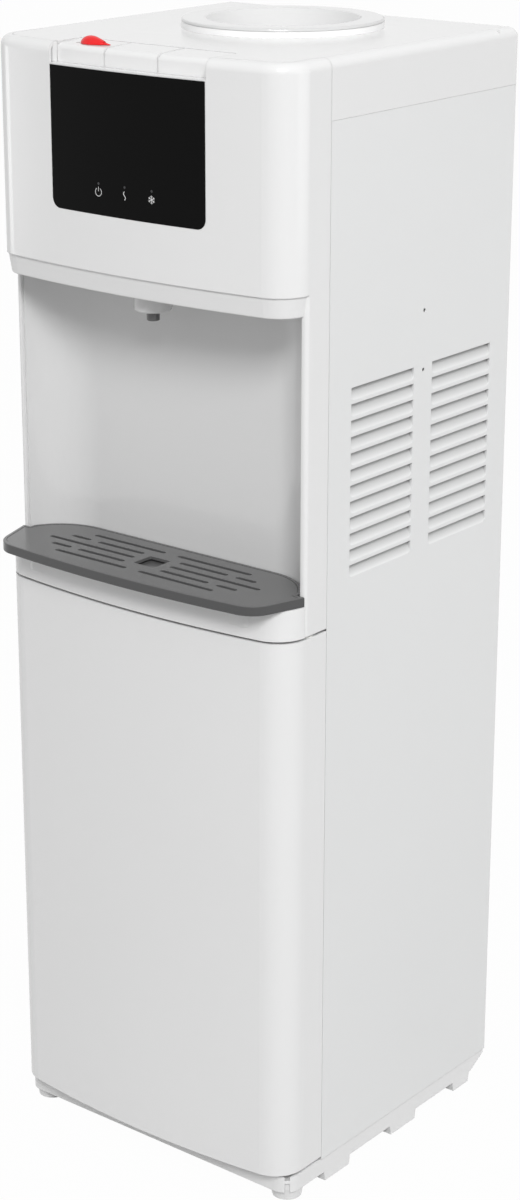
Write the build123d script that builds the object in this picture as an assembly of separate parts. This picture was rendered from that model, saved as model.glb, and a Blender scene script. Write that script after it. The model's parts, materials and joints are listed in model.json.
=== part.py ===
from build123d import *
import math
import os

# Floor-standing water cooler: the bottle stands neck down in a seat on top, water runs
# through a cold tank and a hot tank to one nozzle over a drip tray, and a storage cabinet
# with a hinged door fills the lower half.
#
# The pieces are drawn in the cabinet's own frame: X to the right, Y to the rear with
# y = 0 at the seam between the front mouldings and the side panels, and Z up from the
# floor. save() then moves each piece back by seam_y, so that the origin lies on the floor
# under the middle of the whole cooler.

# Cabinet
cabinet_width = 310.0       # over the side panels
panel_depth = 256.5         # front seam to the rear edge of the side panels
panel_foot = 24.7           # floor to the lower edge of the side panels
top_height = 978.2          # flat top
skirt_line = top_height - 47.5  # lower edge of the top cover's skirt
sheet = 0.9                 # painted steel sheet
wall = 2.6                  # wall of the large mouldings
seam = 0.3                  # gap between mouldings that only meet
slip = 0.5                  # gap round a piece that moves past another
sheet_bend = 2.0            # outside radius of a folded sheet corner

# Front curve in plan
front_bow = 65.8            # door and lower band, in front of the seam
ahead = front_bow + 15.0    # plane clear of that bulge
fascia_bow = 64.6           # head, in front of the seam
corner_radius = 28.5
bow_radius = 970.0

# Door
door_foot = 28.0            # lower edge
door_line = top_height - 459.6  # middle of the seam over the door
door_gap = 2.0              # width of that seam
door_rear_gap = 0.6         # door to side panel
hinge_edge = 8.0            # hinge axis to the side of the cabinet
hinge_front = 20.0          # hinge axis in front of the seam
hinge_pin_radius = 3.0
hinge_pin_length = 14.0
pin_clearance = 0.08
hinge_plate = 2.2
bush_wall = 1.6
bush_proud = 0.8            # flange of a bush, beyond the door's edge
boss_wall = 3.3             # door's hinge bosses round the bushes
frame_setback = 3.6         # cabinet front frame behind the seam, for the door's corner to turn
dish_half = cabinet_width / 2 - 35.0  # dished middle of the door's inner panel
dish_foot = 60.0
dish_top = door_line - 38.6
dish_depth = 14.0
magnet_height = (door_foot + door_line) / 2 - 1.3
pull_height = door_line - 48.6  # middle of the finger pull on the door's left edge
pull_length = 62.0
pull_radius = 9.0

# Dispensing recess and its pillars
pillar_depth = 29.0         # pillar nose in front of the seam
pillar_face = 5.5           # width of the nose
pillar_round = 3.5
recess_depth = 6.5          # back wall behind the seam
recess_radius = 55.0
recess_flat = cabinet_width / 2 - recess_radius - 2.0  # half width of the flat back wall
liner_wall = 2.4
chin_foot = top_height - 195.4  # lower edge of the head
chin_line = chin_foot + 16.9  # step above the chin
chin_step = 1.1
chin_taper = 3.8
rim_radius = 8.0            # rounding along the top of the head
rim_width = 10.0            # rim of the head that frames the top cover
ceiling = 2.4               # thickness of the recess's ceiling

# Drip tray and grille
tray_foot = door_line + 27.8  # lower edge of the tray's band
tray_top = tray_foot + 8.0
tray_reach = 85.2           # front of the tray before the seam
tray_bow_radius = 1204.0
tray_tip = cabinet_width / 2 - 0.5  # half width at the tips beside the pillars
tray_side_lean = 17.0       # degrees that the sides lean in towards the front
tray_corner_radius = 24.0
tray_rim = 3.0
tray_wall = 1.8
tray_fit = 0.8              # gap round the tray in the recess
basin_half = cabinet_width / 2 - 33.0
basin_front = 58.0          # basin in front of the seam
basin_rear = 2.0
basin_depth = 15.0
basin_corner = 9.0
grille_thickness = 2.6
slot_width = 4.4
slot_pitch = 12.6
slot_middle = 37.2          # middle row of slots before the seam
finger_hole = 22.0          # square hole in the middle of the grille

# Control panel, buttons and lock
panel_half = cabinet_width / 2 - 74.9
ledge_height = top_height - 16.1  # ledge under the buttons
panel_top = ledge_height - 1.4
panel_foot_height = panel_top - 114.0
panel_thickness = 2.0
panel_corner = 8.5
lamp_places = (-27.8, 0.0, 27.8)
lamp_height = panel_foot_height + 25.0
lamp_radius = 1.1
board_half = panel_half - 10.1  # printed board behind the panel
board_front = -fascia_bow + 11.6
board_thickness = 1.6
board_screws = (panel_foot_height + 15.3, panel_foot_height + 65.3)
notch_half = panel_half + 0.5
notch_rear = 22.4           # rear end of the button notch before the seam
button_inset = 9.6          # button fronts behind the head's front curve
button_split = notch_half / 3 + 0.8  # middle of the gap between two buttons
button_gap = 2.0
button_wall = 2.0
button_round = 5.0
button_slope = 1.6          # fall of the button's top from rear to front
button_rear = -22.9
button_sink = 0.3           # button's top under the flat top
button_low = top_height - 23.2
stem_middle = -33.0         # stem axis along Y
stem_radius = 3.0
sleeve_wall = 2.2
collar_radius = 7.5         # collar of the stem, on the spring
collar_low = button_low + 2.0
carrier_top = collar_low - 11.5
carrier_plate = 2.5
spring_wire = 0.5           # radius
spring_turns = 4
switch_top = carrier_top - 8.5
switch_height = 7.0
tip_radius = 1.2            # end of the stem inside its switch
button_travel = 3.0
lock_travel = 5.0
key_width = notch_half - button_split
lock_left = -notch_half + key_width / 3  # round end of the catch
lock_length = 0.567 * key_width
lock_right = lock_left + lock_length  # its thin end
lock_line = -41.5           # its axis along Y
lock_height = 6.4
lock_neck = 4.0
lock_slot = (lock_left - lock_travel, lock_right - 6.0)

# Nozzle
nozzle_front = 31.8         # axis before the seam
nozzle_radius = 5.35
nozzle_bore = 3.6
nozzle_foot = chin_foot - 23.4
boss_radius = 15.7
boss_foot = chin_foot - 15.2
hose_radius = 4.5
hose_wall = 1.5
valve_x = (-44.0, 0.0, 44.0)
manifold_height = chin_foot + 17.2
manifold_depth = 16.0
manifold_thickness = 14.0
coil_radius = 13.0          # winding of a valve

# Bottle seat
seat_middle = 137.3         # axis behind the seam
seat_radius = 84.5
seat_height = 7.5           # lip above the top cover
seat_mouth = 64.5           # radius where the funnel starts
seat_throat = 31.0          # radius of the neck well
funnel_depth = 26.0
well_depth = 58.0
seat_wall = 2.4
seat_flange = 6.0           # bearing of the collar on the top cover
groove_height = 5.0
groove_width = 0.6
probe_radius = 7.0
probe_bore = 4.6
probe_spigot = 5.8          # radius of the probe's end in the well's floor
probe_top = top_height - 10.2
cover_notch = (90.0, 116.0)  # finger notches in the rear edge of the top cover
cover_corner = 4.0
cover_tuck = 8.0            # lip of the top cover inside the side panels
cover_seam = 0.12           # side panels to the cover's skirt
lip_wall = 2.0

# Side louvres
louvre_rows = 12
louvre_pitch = 13.58
louvre_height = 10.6
louvre_length = 86.2
louvre_front = 29.7         # front end of the first column behind the seam
louvre_column = 112.0       # from one column to the next
louvre_top = skirt_line - 215.5
louvre_sink = 4.2           # depth of the pressed pocket
louvre_corner = 4.0
side_hole_radius = 1.6
side_hole_depth = 129.2     # behind the seam
side_holes = (skirt_line - 169.8, skirt_line - 219.9)

# Base
base_foot = 9.2             # lower edge of the base's skirt
base_front = 46.0           # before the seam
base_rear = panel_depth - 2.5
base_inset = 1.0            # base behind the face of the side panels
base_wall = 3.0
base_floor = 18.0           # underside of the floor
foot_radius = 13.0
foot_flare = 2.0
foot_middle_x = cabinet_width / 2 - 16.0
foot_middle_y = 28.5        # before the seam
pads = ((7.0, 42.0), (106.0, 143.0), (206.0, 230.0))
pad_width = 14.0
pad_flare = 3.0

# Cabinet inside
store_half = cabinet_width / 2 - 17.0
store_foot = panel_foot + 11.3
store_top = door_line - 13.6
store_depth = 122.0         # beside the compressor
store_depth_upper = 205.0   # over the compressor
store_step = 250.0
store_wall = 1.8
shelf_thickness = 3.0
rear_inset = 26.0           # back panel before the rear edge of the side panels
rear_foot = 240.0

# Tanks
cold_radius = 66.0
cold_foot = chin_foot - 4.8
cold_top = top_height - 40.2
tank_wall = 1.0
coil_tube = 3.0             # radius of the evaporator's tube
coil_turns = 5
coil_pitch = 16.0
foam_half = cabinet_width / 2 - 37.0
foam_front = 13.5           # foam behind the seam
foam_foot = cold_foot - 26.0
foam_top = cold_top - 8.0
hot_radius = 45.0
hot_foot = door_line + 56.4
hot_top = foam_foot - 27.0
hot_middle = 112.0
jacket = 14.0
band_thickness = 2.2
cold_outlet = (44.0, cold_foot + 22.0)  # x and height of the cold outlet
room_outlet = (0.0, cold_foot + 102.0)
hot_outlet = hot_top - 20.0
frame_sheet = 1.5           # steel of the tank frame

# Refrigeration
compressor_radius = 58.0
compressor_height = 150.0
compressor_x = 35.0
compressor_y = 191.0
grommet_height = 11.0
grommet_pin = 3.2
condenser_half = cabinet_width / 2 - 37.0
condenser_foot = 285.0
condenser_passes = 8
condenser_pitch = 54.0
condenser_tube = 2.4
condenser_wire = 1.5
condenser_wires = 17
condenser_gap = 14.0        # tube axis behind the back panel
pipe_radius = 2.4
capillary_radius = 1.2
suction_x = cabinet_width / 2 - 25.0
discharge_x = cabinet_width / 2 - 17.0
capillary_x = cabinet_width / 2 - 33.0
riser_y = 218.0             # pipes between the storage liner and the back panel
drier_x = cabinet_width / 2 - 29.0
drier_radius = 9.0
drier_foot = 166.0
drier_length = 58.0

# Rear fittings
rocker_x = (hot_radius + 17.0, hot_radius + 53.0)
rocker_height = foam_foot - 60.0
rocker_width = 13.0
rocker_radius = 10.0
rocker_turn = 12.0          # degrees between its two positions, half each way
drain_x = -60.0
drain_height = rear_foot + 22.0
drain_radius = 9.0
cap_wall = 2.6
gland_x = 60.0
gland_radius = 7.0
gland_bore = 3.6
screw_radius = 1.4

half_width = cabinet_width / 2
cover_depth = panel_depth + 1.5
seam_y = (tray_reach - cover_depth) / 2
back_y = panel_depth - rear_inset
hinge_x = half_width - hinge_edge
panel_high = skirt_line - cover_seam
niche_half = half_width - pillar_face
recess_front = -pillar_depth + wall
deck_line = door_line + door_gap / 2
deck_top = tray_foot - seam
foam_rear = back_y - lip_wall - 2 * seam
barb_radius = hose_radius - hose_wall - 0.02
coil_line = cold_radius + coil_tube + seam
pipe_y = back_y + sheet + condenser_gap
manifold_y = -nozzle_front
valve_low = manifold_height + manifold_thickness
inlet_y = manifold_y + 22.0
inlet_z = valve_low + 7.0
hose_bend = 9.0
hose_y = inlet_y + hose_bend + seam
outlet_front = foam_front - 4.0


def save(name, shape):
    export_step(Pos(0, seam_y, 0) * shape, f"parts/{name}.step")


def block(x, y, z):
    # box from its low and high limits along each axis
    size = (x[1] - x[0], y[1] - y[0], z[1] - z[0])
    return Pos((x[0] + x[1]) / 2, (y[0] + y[1]) / 2, (z[0] + z[1]) / 2) * Box(*size)


def post(x, y, z, radius):
    # upright cylinder between two heights
    return Pos(x, y, (z[0] + z[1]) / 2) * Cylinder(radius, z[1] - z[0])


def slab(face, low, high):
    return Pos(0, 0, low) * extrude(face, amount=high - low)


def both_sides(shape):
    return shape + mirror(shape, Plane.YZ)


def turned(points, x=0.0, y=0.0):
    # solid of revolution about an upright axis, from (radius, height) points
    outline = Polyline(*[(r, 0, z) for r, z in points], close=True)
    return Pos(x, y, 0) * revolve(make_face(outline), Axis.Z, 360)


def front_face(bow, inset=0.0, rear=0.0):
    # plan of the bulging front: straight sides, tangent corners and one wide arc
    corner_x = half_width - corner_radius
    bow_y = bow_radius - bow
    corner_y = bow_y - math.sqrt((bow_radius - corner_radius) ** 2 - corner_x**2)
    lean = math.atan2(corner_x, bow_y - corner_y)
    radius = corner_radius - inset
    side = half_width - inset
    meet = (corner_x + radius * math.sin(lean), corner_y - radius * math.cos(lean))
    turn = (math.pi / 2 - lean) / 2
    bulge = (corner_x + radius * math.cos(turn), corner_y - radius * math.sin(turn))
    edges = [
        Line((-side, rear), (-side, corner_y)),
        ThreePointArc((-side, corner_y), (-bulge[0], bulge[1]), (-meet[0], meet[1])),
        ThreePointArc((-meet[0], meet[1]), (0, inset - bow), meet),
        ThreePointArc(meet, bulge, (side, corner_y)),
        Line((side, corner_y), (side, rear)),
        Line((side, rear), (-side, rear)),
    ]
    return make_face(edges)


def recess_face(grow=0.0, front=-pillar_depth + wall):
    # plan of the dispensing recess: flat back wall and one large arc at each end
    centre_y = recess_depth - recess_radius
    radius = recess_radius + grow
    end_x = recess_flat + math.sqrt(radius**2 - (front - centre_y) ** 2)
    turn = math.atan2(front - centre_y, end_x - recess_flat)
    half_turn = (turn + math.pi / 2) / 2
    mid = (recess_flat + radius * math.cos(half_turn), centre_y + radius * math.sin(half_turn))
    back = recess_depth + grow
    edges = [
        Line((end_x, front), (-end_x, front)),
        ThreePointArc((-end_x, front), (-mid[0], mid[1]), (-recess_flat, back)),
        Line((-recess_flat, back), (recess_flat, back)),
        ThreePointArc((recess_flat, back), mid, (end_x, front)),
    ]
    return make_face(edges)


def top_edges(shape, height, rear=-0.01):
    # edges in the plane z = height that lie before the plane y = rear
    return [
        e for e in shape.edges().filter_by_position(Axis.Z, height - 0.01, height + 0.01)
        if e.center().Y < rear
    ]


def rounded_block(x, y, z, radius):
    # box with rounded upright edges
    return fillet(block(x, y, z).edges().filter_by(Axis.Z), radius)


def profile_x(points, x):
    # (y, z) outline carried along X between two limits
    outline = Polyline(*[(x[0], y, z) for y, z in points], close=True)
    return extrude(make_face(outline), amount=x[1] - x[0], dir=(1, 0, 0))


def profile_y(points, y):
    # (x, z) outline carried along Y between two limits
    outline = Polyline(*[(x, y[0], z) for x, z in points], close=True)
    return extrude(make_face(outline), amount=y[1] - y[0], dir=(0, 1, 0))


def pin_y(x, z, y, radius):
    # cylinder along Y between two limits
    turn = Location((x, (y[0] + y[1]) / 2, z), (90, 0, 0))
    return turn * Cylinder(radius, y[1] - y[0])


def pipe(points, bend, radius, bore=0.0):
    # tube along straight runs joined by bends
    path = FilletPolyline(*points, radius=bend)
    section = Plane(origin=path @ 0, z_dir=path % 0) * Circle(radius)
    if bore:
        section -= Plane(origin=path @ 0, z_dir=path % 0) * Circle(bore)
    return sweep(section, path=path)


# ---------------------------------------------------------------- base and cabinet


def base_pan():
    # moulded pan with an open underside: the skirt, tapered pads and two round front feet
    half = half_width - base_inset
    floor_top = base_floor + base_wall
    rise = 20.0
    skirt = profile_x(
        [
            (-base_front, base_foot),
            (base_rear - rise, base_foot),
            (base_rear, base_floor + base_wall - 0.5),
            (base_rear, panel_foot),
            (-base_front, panel_foot),
        ],
        (-half, half),
    )
    corners = [e for e in skirt.edges().filter_by(Axis.Z) if e.center().Y < 0]
    skirt = fillet(corners, foot_radius + foot_flare)
    under = profile_x(
        [
            (-base_front + base_wall, base_foot - 1),
            (base_rear - rise - base_wall, base_foot - 1),
            (base_rear - base_wall - rise / 3, base_floor),
            (-base_front + base_wall, base_floor),
        ],
        (-half + base_wall, half - base_wall),
    )
    well = block(
        (-half + base_wall, half - base_wall),
        (-base_front + base_wall, base_rear - base_wall),
        (floor_top, panel_foot + 1),
    )
    pan = skirt - under - well
    for front, rear in pads:
        pad = profile_x(
            [(front - pad_flare, base_floor), (front, 0), (rear, 0), (rear + pad_flare, base_floor)],
            (half - pad_width, half),
        )
        pan += both_sides(pad)
    foot = turned(
        [(0, 0), (foot_radius, 0), (foot_radius + foot_flare, base_foot + 2),
         (foot_radius + foot_flare, base_floor), (0, base_floor)],
        foot_middle_x, -foot_middle_y,
    )
    pan += both_sides(foot & skirt_space(half))
    # upstand inside the side panels, the hinge bracket's boss, ribs under the floor and
    # the pins that hold the compressor's grommets
    inside = half_width - sheet - seam
    upstand = block((inside - base_wall, inside), (8, base_rear - 4), (floor_top, panel_foot + 11))
    pan += both_sides(upstand)
    boss = post(hinge_x, -hinge_front, (floor_top - 1, panel_foot), boss_wall + 4.7)
    pan += boss & skirt_space(half)
    for y in [share * base_rear for share in (0.08, 0.355, 0.63)]:
        pan += block((-half + 1, half - 1), (y, y + 2), (base_foot + 1, base_floor + 1))
    for x, y in grommet_places():
        pan += post(x, y, (floor_top - 1, floor_top + grommet_height + 5), grommet_pin)
    return pan


def skirt_space(half):
    # room inside the sides of the base, so that the flared feet end flush with it
    return block((-half, half), (-base_front, base_rear), (-1, panel_foot))


def grommet_places():
    return [
        (compressor_x + sx * (compressor_radius + 4), compressor_y + sy * 36.0)
        for sx in (-1, 1) for sy in (-1, 1)
    ]


def louvre_outline(front, top, grow=0.0):
    # opening of one louvre on the side: square above, round corners below
    y = (front - grow, front + louvre_length + grow)
    z = (top - louvre_height - grow, top)
    shape = block((half_width - 12, half_width + 2), y, z)
    low = [e for e in shape.edges().filter_by(Axis.X) if e.center().Z < top - 1]
    return fillet(low, louvre_corner + grow)


def louvre_wedge(top, grow=0.0):
    # space between the sheet's face and the flap that is pressed inwards at its top
    low = top - louvre_height - grow
    outer = half_width + (1 if grow == 0 else 0)
    points = [
        (outer, low),
        (outer, top),
        (half_width - louvre_sink - grow, top),
        (half_width - grow, low),
    ]
    return profile_y(points, (louvre_front - 5, louvre_front + louvre_column + louvre_length + 5))


def side_panel():
    # right-hand panel: a folded steel sheet with two columns of pressed louvres
    high = panel_high
    panel = block((half_width - sheet, half_width), (0, panel_depth), (panel_foot, high))
    panel += block(
        (half_width - 15, half_width), (frame_setback, frame_setback + sheet), (panel_foot, high)
    )
    panel += block(
        (half_width - 14, half_width), (panel_depth - sheet, panel_depth), (panel_foot, high)
    )
    rear_edge = [
        e for e in panel.edges().filter_by(Axis.Z)
        if e.center().Y > panel_depth - 0.01 and e.center().X > half_width - 0.01
    ]
    panel = fillet(rear_edge, sheet_bend)
    dents = []
    voids = []
    for column in range(2):
        front = louvre_front + column * louvre_column
        for row in range(louvre_rows):
            top = louvre_top - row * louvre_pitch
            dents.append(louvre_wedge(top, sheet) & louvre_outline(front, top, sheet))
            voids.append(louvre_wedge(top) & louvre_outline(front, top))
    panel = panel.fuse(*dents).cut(*voids)
    for z in side_holes:
        hole = Location((half_width, side_hole_depth, z), (0, 90, 0)) * Cylinder(side_hole_radius, 6)
        panel -= hole
    return panel


def back_panel():
    # upper rear cover, set forward between the side panels to leave room for the condenser
    half = half_width - sheet - seam - 0.5
    high = panel_high
    panel = block((-half, half), (back_y, back_y + sheet), (rear_foot, high))
    side = block((half - sheet, half), (back_y, panel_depth - sheet), (rear_foot, high))
    panel += both_sides(side)
    slots = [
        block((x - 2, x + 2), (back_y - 1, back_y + 2), (high - 62, high - 22))
        for x in [-half + 53.3 + 12.0 * i for i in range(10)]
    ]
    panel = panel.cut(*slots)
    panel -= block(
        (rocker_x[0] - 15, rocker_x[1] + 15), (back_y - 1, back_y + 2),
        (rocker_height - 15, rocker_height + 15),
    )
    panel -= pin_y(drain_x, drain_height, (back_y - 1, back_y + 2), drain_radius + slip)
    panel -= pin_y(gland_x, drain_height, (back_y - 1, back_y + 2), gland_radius)
    for x, z in rear_screw_places():
        panel -= pin_y(x, z, (back_y - 1, back_y + 2), screw_radius + 0.1)
    return panel


def rear_screw_places():
    lip = skirt_line - cover_tuck / 2
    outer = half_width - 35.0
    cover = [(x, lip) for x in (-outer, -outer / 3, outer / 3, outer)]
    inner = hot_radius - 7.0
    return cover + [(x, z) for x in (-inner, inner) for z in (hot_foot + 25.0, hot_top - 35.0)]


def rear_screws():
    # pan-head screws through the rear panel into the cover's lip and the tank frame
    screws = []
    for x, z in rear_screw_places():
        shank = pin_y(x, z, (back_y - seam - lip_wall, back_y + sheet + 0.5), screw_radius)
        head = pin_y(x, z, (back_y + sheet, back_y + sheet + 2), 3.4)
        rim = head.edges().filter_by(GeomType.CIRCLE).sort_by(Axis.Y)[-1]
        screws.append(shank + fillet(rim, 1.4))
    return Compound(screws)


def cord_gland():
    # inlet for the mains lead: a flanged bush in the rear cover
    x, z = gland_x, drain_height
    face = back_y + sheet
    body = pin_y(x, z, (back_y - 4, face + 6), gland_radius - 0.02)
    body += pin_y(x, z, (face, face + 3), gland_radius + 3)
    body += pin_y(x, z, (back_y - 3, back_y), gland_radius + 1.5)
    body -= pin_y(x, z, (back_y - 5, face + 12), gland_bore)
    rim = body.edges().filter_by(GeomType.CIRCLE).sort_by(Axis.Y)[-2:]
    return fillet(rim, 1.0)


def storage_liner():
    # vacuum-formed inner box: shallow beside the compressor, deeper above it
    front = frame_setback + sheet
    out = store_wall

    def hollow(grow):
        low = block(
            (-store_half - grow, store_half + grow), (front, store_depth + grow),
            (store_foot - grow, store_step + grow),
        )
        high = block(
            (-store_half - grow, store_half + grow), (front, store_depth_upper + grow),
            (store_step - grow, store_top + grow),
        )
        body = low + high
        rear = [e for e in body.edges().filter_by(Axis.Z) if e.center().Y > front + 1]
        return fillet(rear, 12.0 + grow)

    flange = block(
        (-half_width + sheet + seam, half_width - sheet - seam), (front, front + out),
        (panel_foot + seam, door_line - 3),
    )
    liner = hollow(out) + flange - hollow(0)
    ledge = block((store_half - 6, store_half + 1), (front + 6, store_depth), (store_step - 4, store_step))
    return liner + both_sides(ledge)


def storage_shelf():
    # removable shelf on the step over the compressor and on two moulded ledges
    half = store_half - slip
    rear = store_depth_upper - slip
    front = frame_setback + 10
    plate = block((-half, half), (front, rear), (store_step, store_step + shelf_thickness))
    corners = [e for e in plate.edges().filter_by(Axis.Z) if e.center().Y > rear - 1]
    plate = fillet(corners, 12.0)
    lip = block((-half, half), (front, front + 2.5), (store_step, store_step + 12))
    slots = [
        rounded_block(
            (-70, 70), (y, y + 6), (store_step - 1, store_step + shelf_thickness + 1), 2.9
        )
        for y in [45 + 18.0 * i for i in range(8)]
    ]
    return (plate + lip).cut(*slots)


# ---------------------------------------------------------------- head and front


def front_fascia():
    # one moulding: the head with its chin, the top rim and the two pillars of the recess
    rear = -seam
    head = slab(front_face(fascia_bow, 0, rear), chin_line, top_height)
    head = fillet(top_edges(head, top_height, rear - 0.01), rim_radius)
    core = slab(front_face(fascia_bow, wall, rear + 1), chin_line - 0.01, top_height - wall)
    core = fillet(top_edges(core, top_height - wall, rear + 0.9), rim_radius - wall)
    chin = loft([
        Pos(0, 0, chin_foot) * front_face(fascia_bow, chin_taper, rear),
        Pos(0, 0, chin_line) * front_face(fascia_bow, chin_step, rear),
    ])
    chin = fillet(top_edges(chin, chin_foot, rear - 0.01), 1.2)
    chin_core = loft([
        Pos(0, 0, chin_foot - 1) * front_face(fascia_bow, chin_taper + wall, rear + 1),
        Pos(0, 0, chin_line + 0.1) * front_face(fascia_bow, chin_step + wall, rear + 1),
    ])
    shell = (head + chin) - core - chin_core
    shell -= slab(front_face(fascia_bow, rim_width, rear + 1), top_height - 2 * wall, top_height + 1)
    # pillars down to the door seam, with a rounded nose
    low = door_line + door_gap / 2
    nose = block((niche_half, half_width), (-pillar_depth, rear), (low, chin_line + 5))
    edge = [
        e for e in nose.edges().filter_by(Axis.Z)
        if e.center().Y < -pillar_depth + 0.1 and e.center().X > half_width - 0.1
    ]
    nose = fillet(edge, pillar_round)
    nose -= block(
        (niche_half - 1, half_width - wall), (-pillar_depth + wall, rear + 1), (low - 1, chin_line + 6)
    )
    shell += both_sides(nose)
    # inner frame that carries the panel, and the ledge under the buttons
    bay = block((-panel_half - 3, panel_half + 3), (-ahead, 0), (panel_foot_height - 4, ledge_height))
    shell += bay & slab(
        front_face(fascia_bow, 1.0) - front_face(fascia_bow, panel_thickness + wall),
        panel_foot_height - 4, ledge_height,
    )
    ledge = block((-panel_half - 3, panel_half + 3), (-ahead, 0), (ledge_height - wall, ledge_height))
    shell += ledge & slab(
        front_face(fascia_bow, 1.0) - front_face(fascia_bow, button_inset - slip),
        ledge_height - wall, ledge_height,
    )
    shell -= panel_shape(seam / 2, -1.0, panel_thickness)
    shell -= block((-notch_half, notch_half), (-ahead, 0), (ledge_height, top_height + 1))
    # cheeks that close the ends of the notch
    cheek = block(
        (notch_half, notch_half + wall), (-fascia_bow + 8, -notch_rear - 6),
        (ledge_height - 18, top_height - wall),
    )
    shell += both_sides(cheek)
    for x in (-board_half + 8, board_half - 8):
        frame_y = -fascia_bow + panel_thickness + 1.0 + x**2 / (2 * bow_radius)
        for z in board_screws:
            shell += pin_y(x, z, (frame_y, board_front), 3.0)
    for x in lamp_places:
        shell -= pin_y(x, lamp_height, (-ahead, board_front), lamp_radius + 0.2)
    return shell


def panel_shape(grow, outer, inner):
    # curved plate flush with the head, with two round corners at the bottom
    half = panel_half + grow
    low = panel_foot_height - grow
    frame = block((-half, half), (-ahead, -notch_rear), (low, panel_top + grow))
    corners = [e for e in frame.edges().filter_by(Axis.Y) if e.center().Z < low + 1]
    frame = fillet(corners, panel_corner)
    strip = front_face(fascia_bow, outer) - front_face(fascia_bow, inner)
    return frame & slab(strip, low - 1, panel_top + 1)


def control_panel():
    panel = panel_shape(0, 0, panel_thickness)
    for x in lamp_places:
        panel -= pin_y(x, lamp_height, (-ahead, board_front), lamp_radius + 0.1)
    return panel


def indicator_lights():
    # light guides from the board to the face of the panel
    room = slab(front_face(fascia_bow, 0.1), lamp_height - 5, lamp_height + 5)
    lamps = [
        room & pin_y(x, lamp_height, (-fascia_bow - 1, board_front), lamp_radius)
        for x in lamp_places
    ]
    return Compound(lamps)


def control_board():
    # printed board on four posts behind the panel
    y = (board_front, board_front + board_thickness)
    board = block((-board_half, board_half), y, (board_screws[0] - 8, board_screws[1] + 8))
    chip = block((-18, 18), (y[1], y[1] + 3), (board_screws[0] + 18, board_screws[0] + 34))
    plugs = [
        block((x, x + 16), (y[1], y[1] + 9), (board_screws[1] - 6, board_screws[1] + 4))
        for x in (-50, -25, 10, 35)
    ]
    return (board + chip).fuse(*plugs)


def niche_liner():
    # rear wall, curved ends and ceiling of the dispensing recess, with the nozzle's boss
    low = tray_foot - 20
    roof = chin_foot + ceiling
    liner = slab(recess_face(liner_wall) - recess_face(), low, chin_foot - seam)
    flange = block(
        (recess_end_x(), half_width - wall - seam), (recess_front, recess_front + liner_wall),
        (low, chin_foot - seam),
    )
    liner += both_sides(flange)
    liner += slab(
        front_face(fascia_bow, chin_taper + wall + slip, -seam), chin_foot - 2 * seam, roof
    )
    liner += slab(recess_face(), chin_foot - 2 * seam, roof)
    boss = post(0, manifold_y, (boss_foot, chin_foot), boss_radius)
    tail = loft([
        Pos(0, manifold_y, boss_foot + 3) * Circle(boss_radius - 1),
        Pos(0, manifold_y + 16, chin_foot) * Circle(boss_radius + 3),
    ])
    boss = boss + tail
    foot = [e for e in boss.edges().filter_by(GeomType.CIRCLE) if e.center().Z < boss_foot + 0.1]
    boss = fillet(foot, 2.5)
    liner += boss
    liner -= post(0, manifold_y, (boss_foot - 1, roof + 1), nozzle_radius + seam)
    return liner


def recess_end_x(grow=0.0):
    centre_y = recess_depth - recess_radius
    return recess_flat + math.sqrt((recess_radius + grow) ** 2 - (recess_front - centre_y) ** 2)


def tray_deck():
    # band under the tray with the deck and the pocket that holds the tray's basin
    split = -pillar_depth - seam
    front = block((-half_width - 1, half_width + 1), (-ahead, split), (deck_line - 1, tray_foot + 1))
    band = slab(front_face(front_bow) - front_face(front_bow, wall), deck_line, deck_top)
    deck = slab(front_face(front_bow, 0.5), deck_top - wall, deck_top)
    shell = (band + deck) & front
    shell += slab(recess_face(-seam, split - 1), deck_top - wall, deck_top)
    pocket_x = (-basin_half - slip, basin_half + slip)
    pocket_y = (-basin_front - slip, -basin_rear + slip)
    floor = tray_foot - basin_depth - slip
    shell += rounded_block(
        (pocket_x[0] - 2, pocket_x[1] + 2), (pocket_y[0] - 2, pocket_y[1] + 2),
        (floor - 2, deck_top), basin_corner + 2,
    )
    return shell - rounded_block(pocket_x, pocket_y, (floor, tray_foot + 1), basin_corner + slip)


def tray_face(inset=0.0):
    # plan of the tray: it follows the recess behind, ends in a tip beside each pillar,
    # leans in along the sides and is gently bowed in front
    centre_y = recess_depth - recess_radius
    radius = recess_radius - tray_fit
    nose_y = -pillar_depth - slip
    inner_x = recess_end_x(-tray_fit) - 1.0
    inner_y = centre_y + math.sqrt(radius**2 - (inner_x - recess_flat) ** 2)
    turn = math.atan2(inner_y - centre_y, inner_x - recess_flat)
    half_turn = (turn + math.pi / 2) / 2
    mid = (recess_flat + radius * math.cos(half_turn), centre_y + radius * math.sin(half_turn))
    back = recess_depth - tray_fit
    lean = math.tan(math.radians(tray_side_lean))
    bow_y = tray_bow_radius - tray_reach
    # meeting point of the leaning side and the bow
    corner_x = tray_tip
    for _ in range(20):
        corner_y = bow_y - math.sqrt(tray_bow_radius**2 - corner_x**2)
        corner_x = tray_tip - (nose_y - corner_y) * lean
    edges = [
        Line((-recess_flat, back), (recess_flat, back)),
        ThreePointArc((recess_flat, back), mid, (inner_x, inner_y)),
        Line((inner_x, inner_y), (inner_x, nose_y)),
        Line((inner_x, nose_y), (tray_tip, nose_y)),
        Line((tray_tip, nose_y), (corner_x, corner_y)),
        ThreePointArc((corner_x, corner_y), (0, -tray_reach), (-corner_x, corner_y)),
        Line((-corner_x, corner_y), (-tray_tip, nose_y)),
        Line((-tray_tip, nose_y), (-inner_x, nose_y)),
        Line((-inner_x, nose_y), (-inner_x, inner_y)),
        ThreePointArc((-inner_x, inner_y), (-mid[0], mid[1]), (-recess_flat, back)),
    ]
    face = make_face(edges)
    front = [v for v in face.vertices() if v.Y < nose_y - 5]
    face = fillet(front, tray_corner_radius)
    if inset:
        face = offset(face, amount=-inset)
    return face


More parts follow.
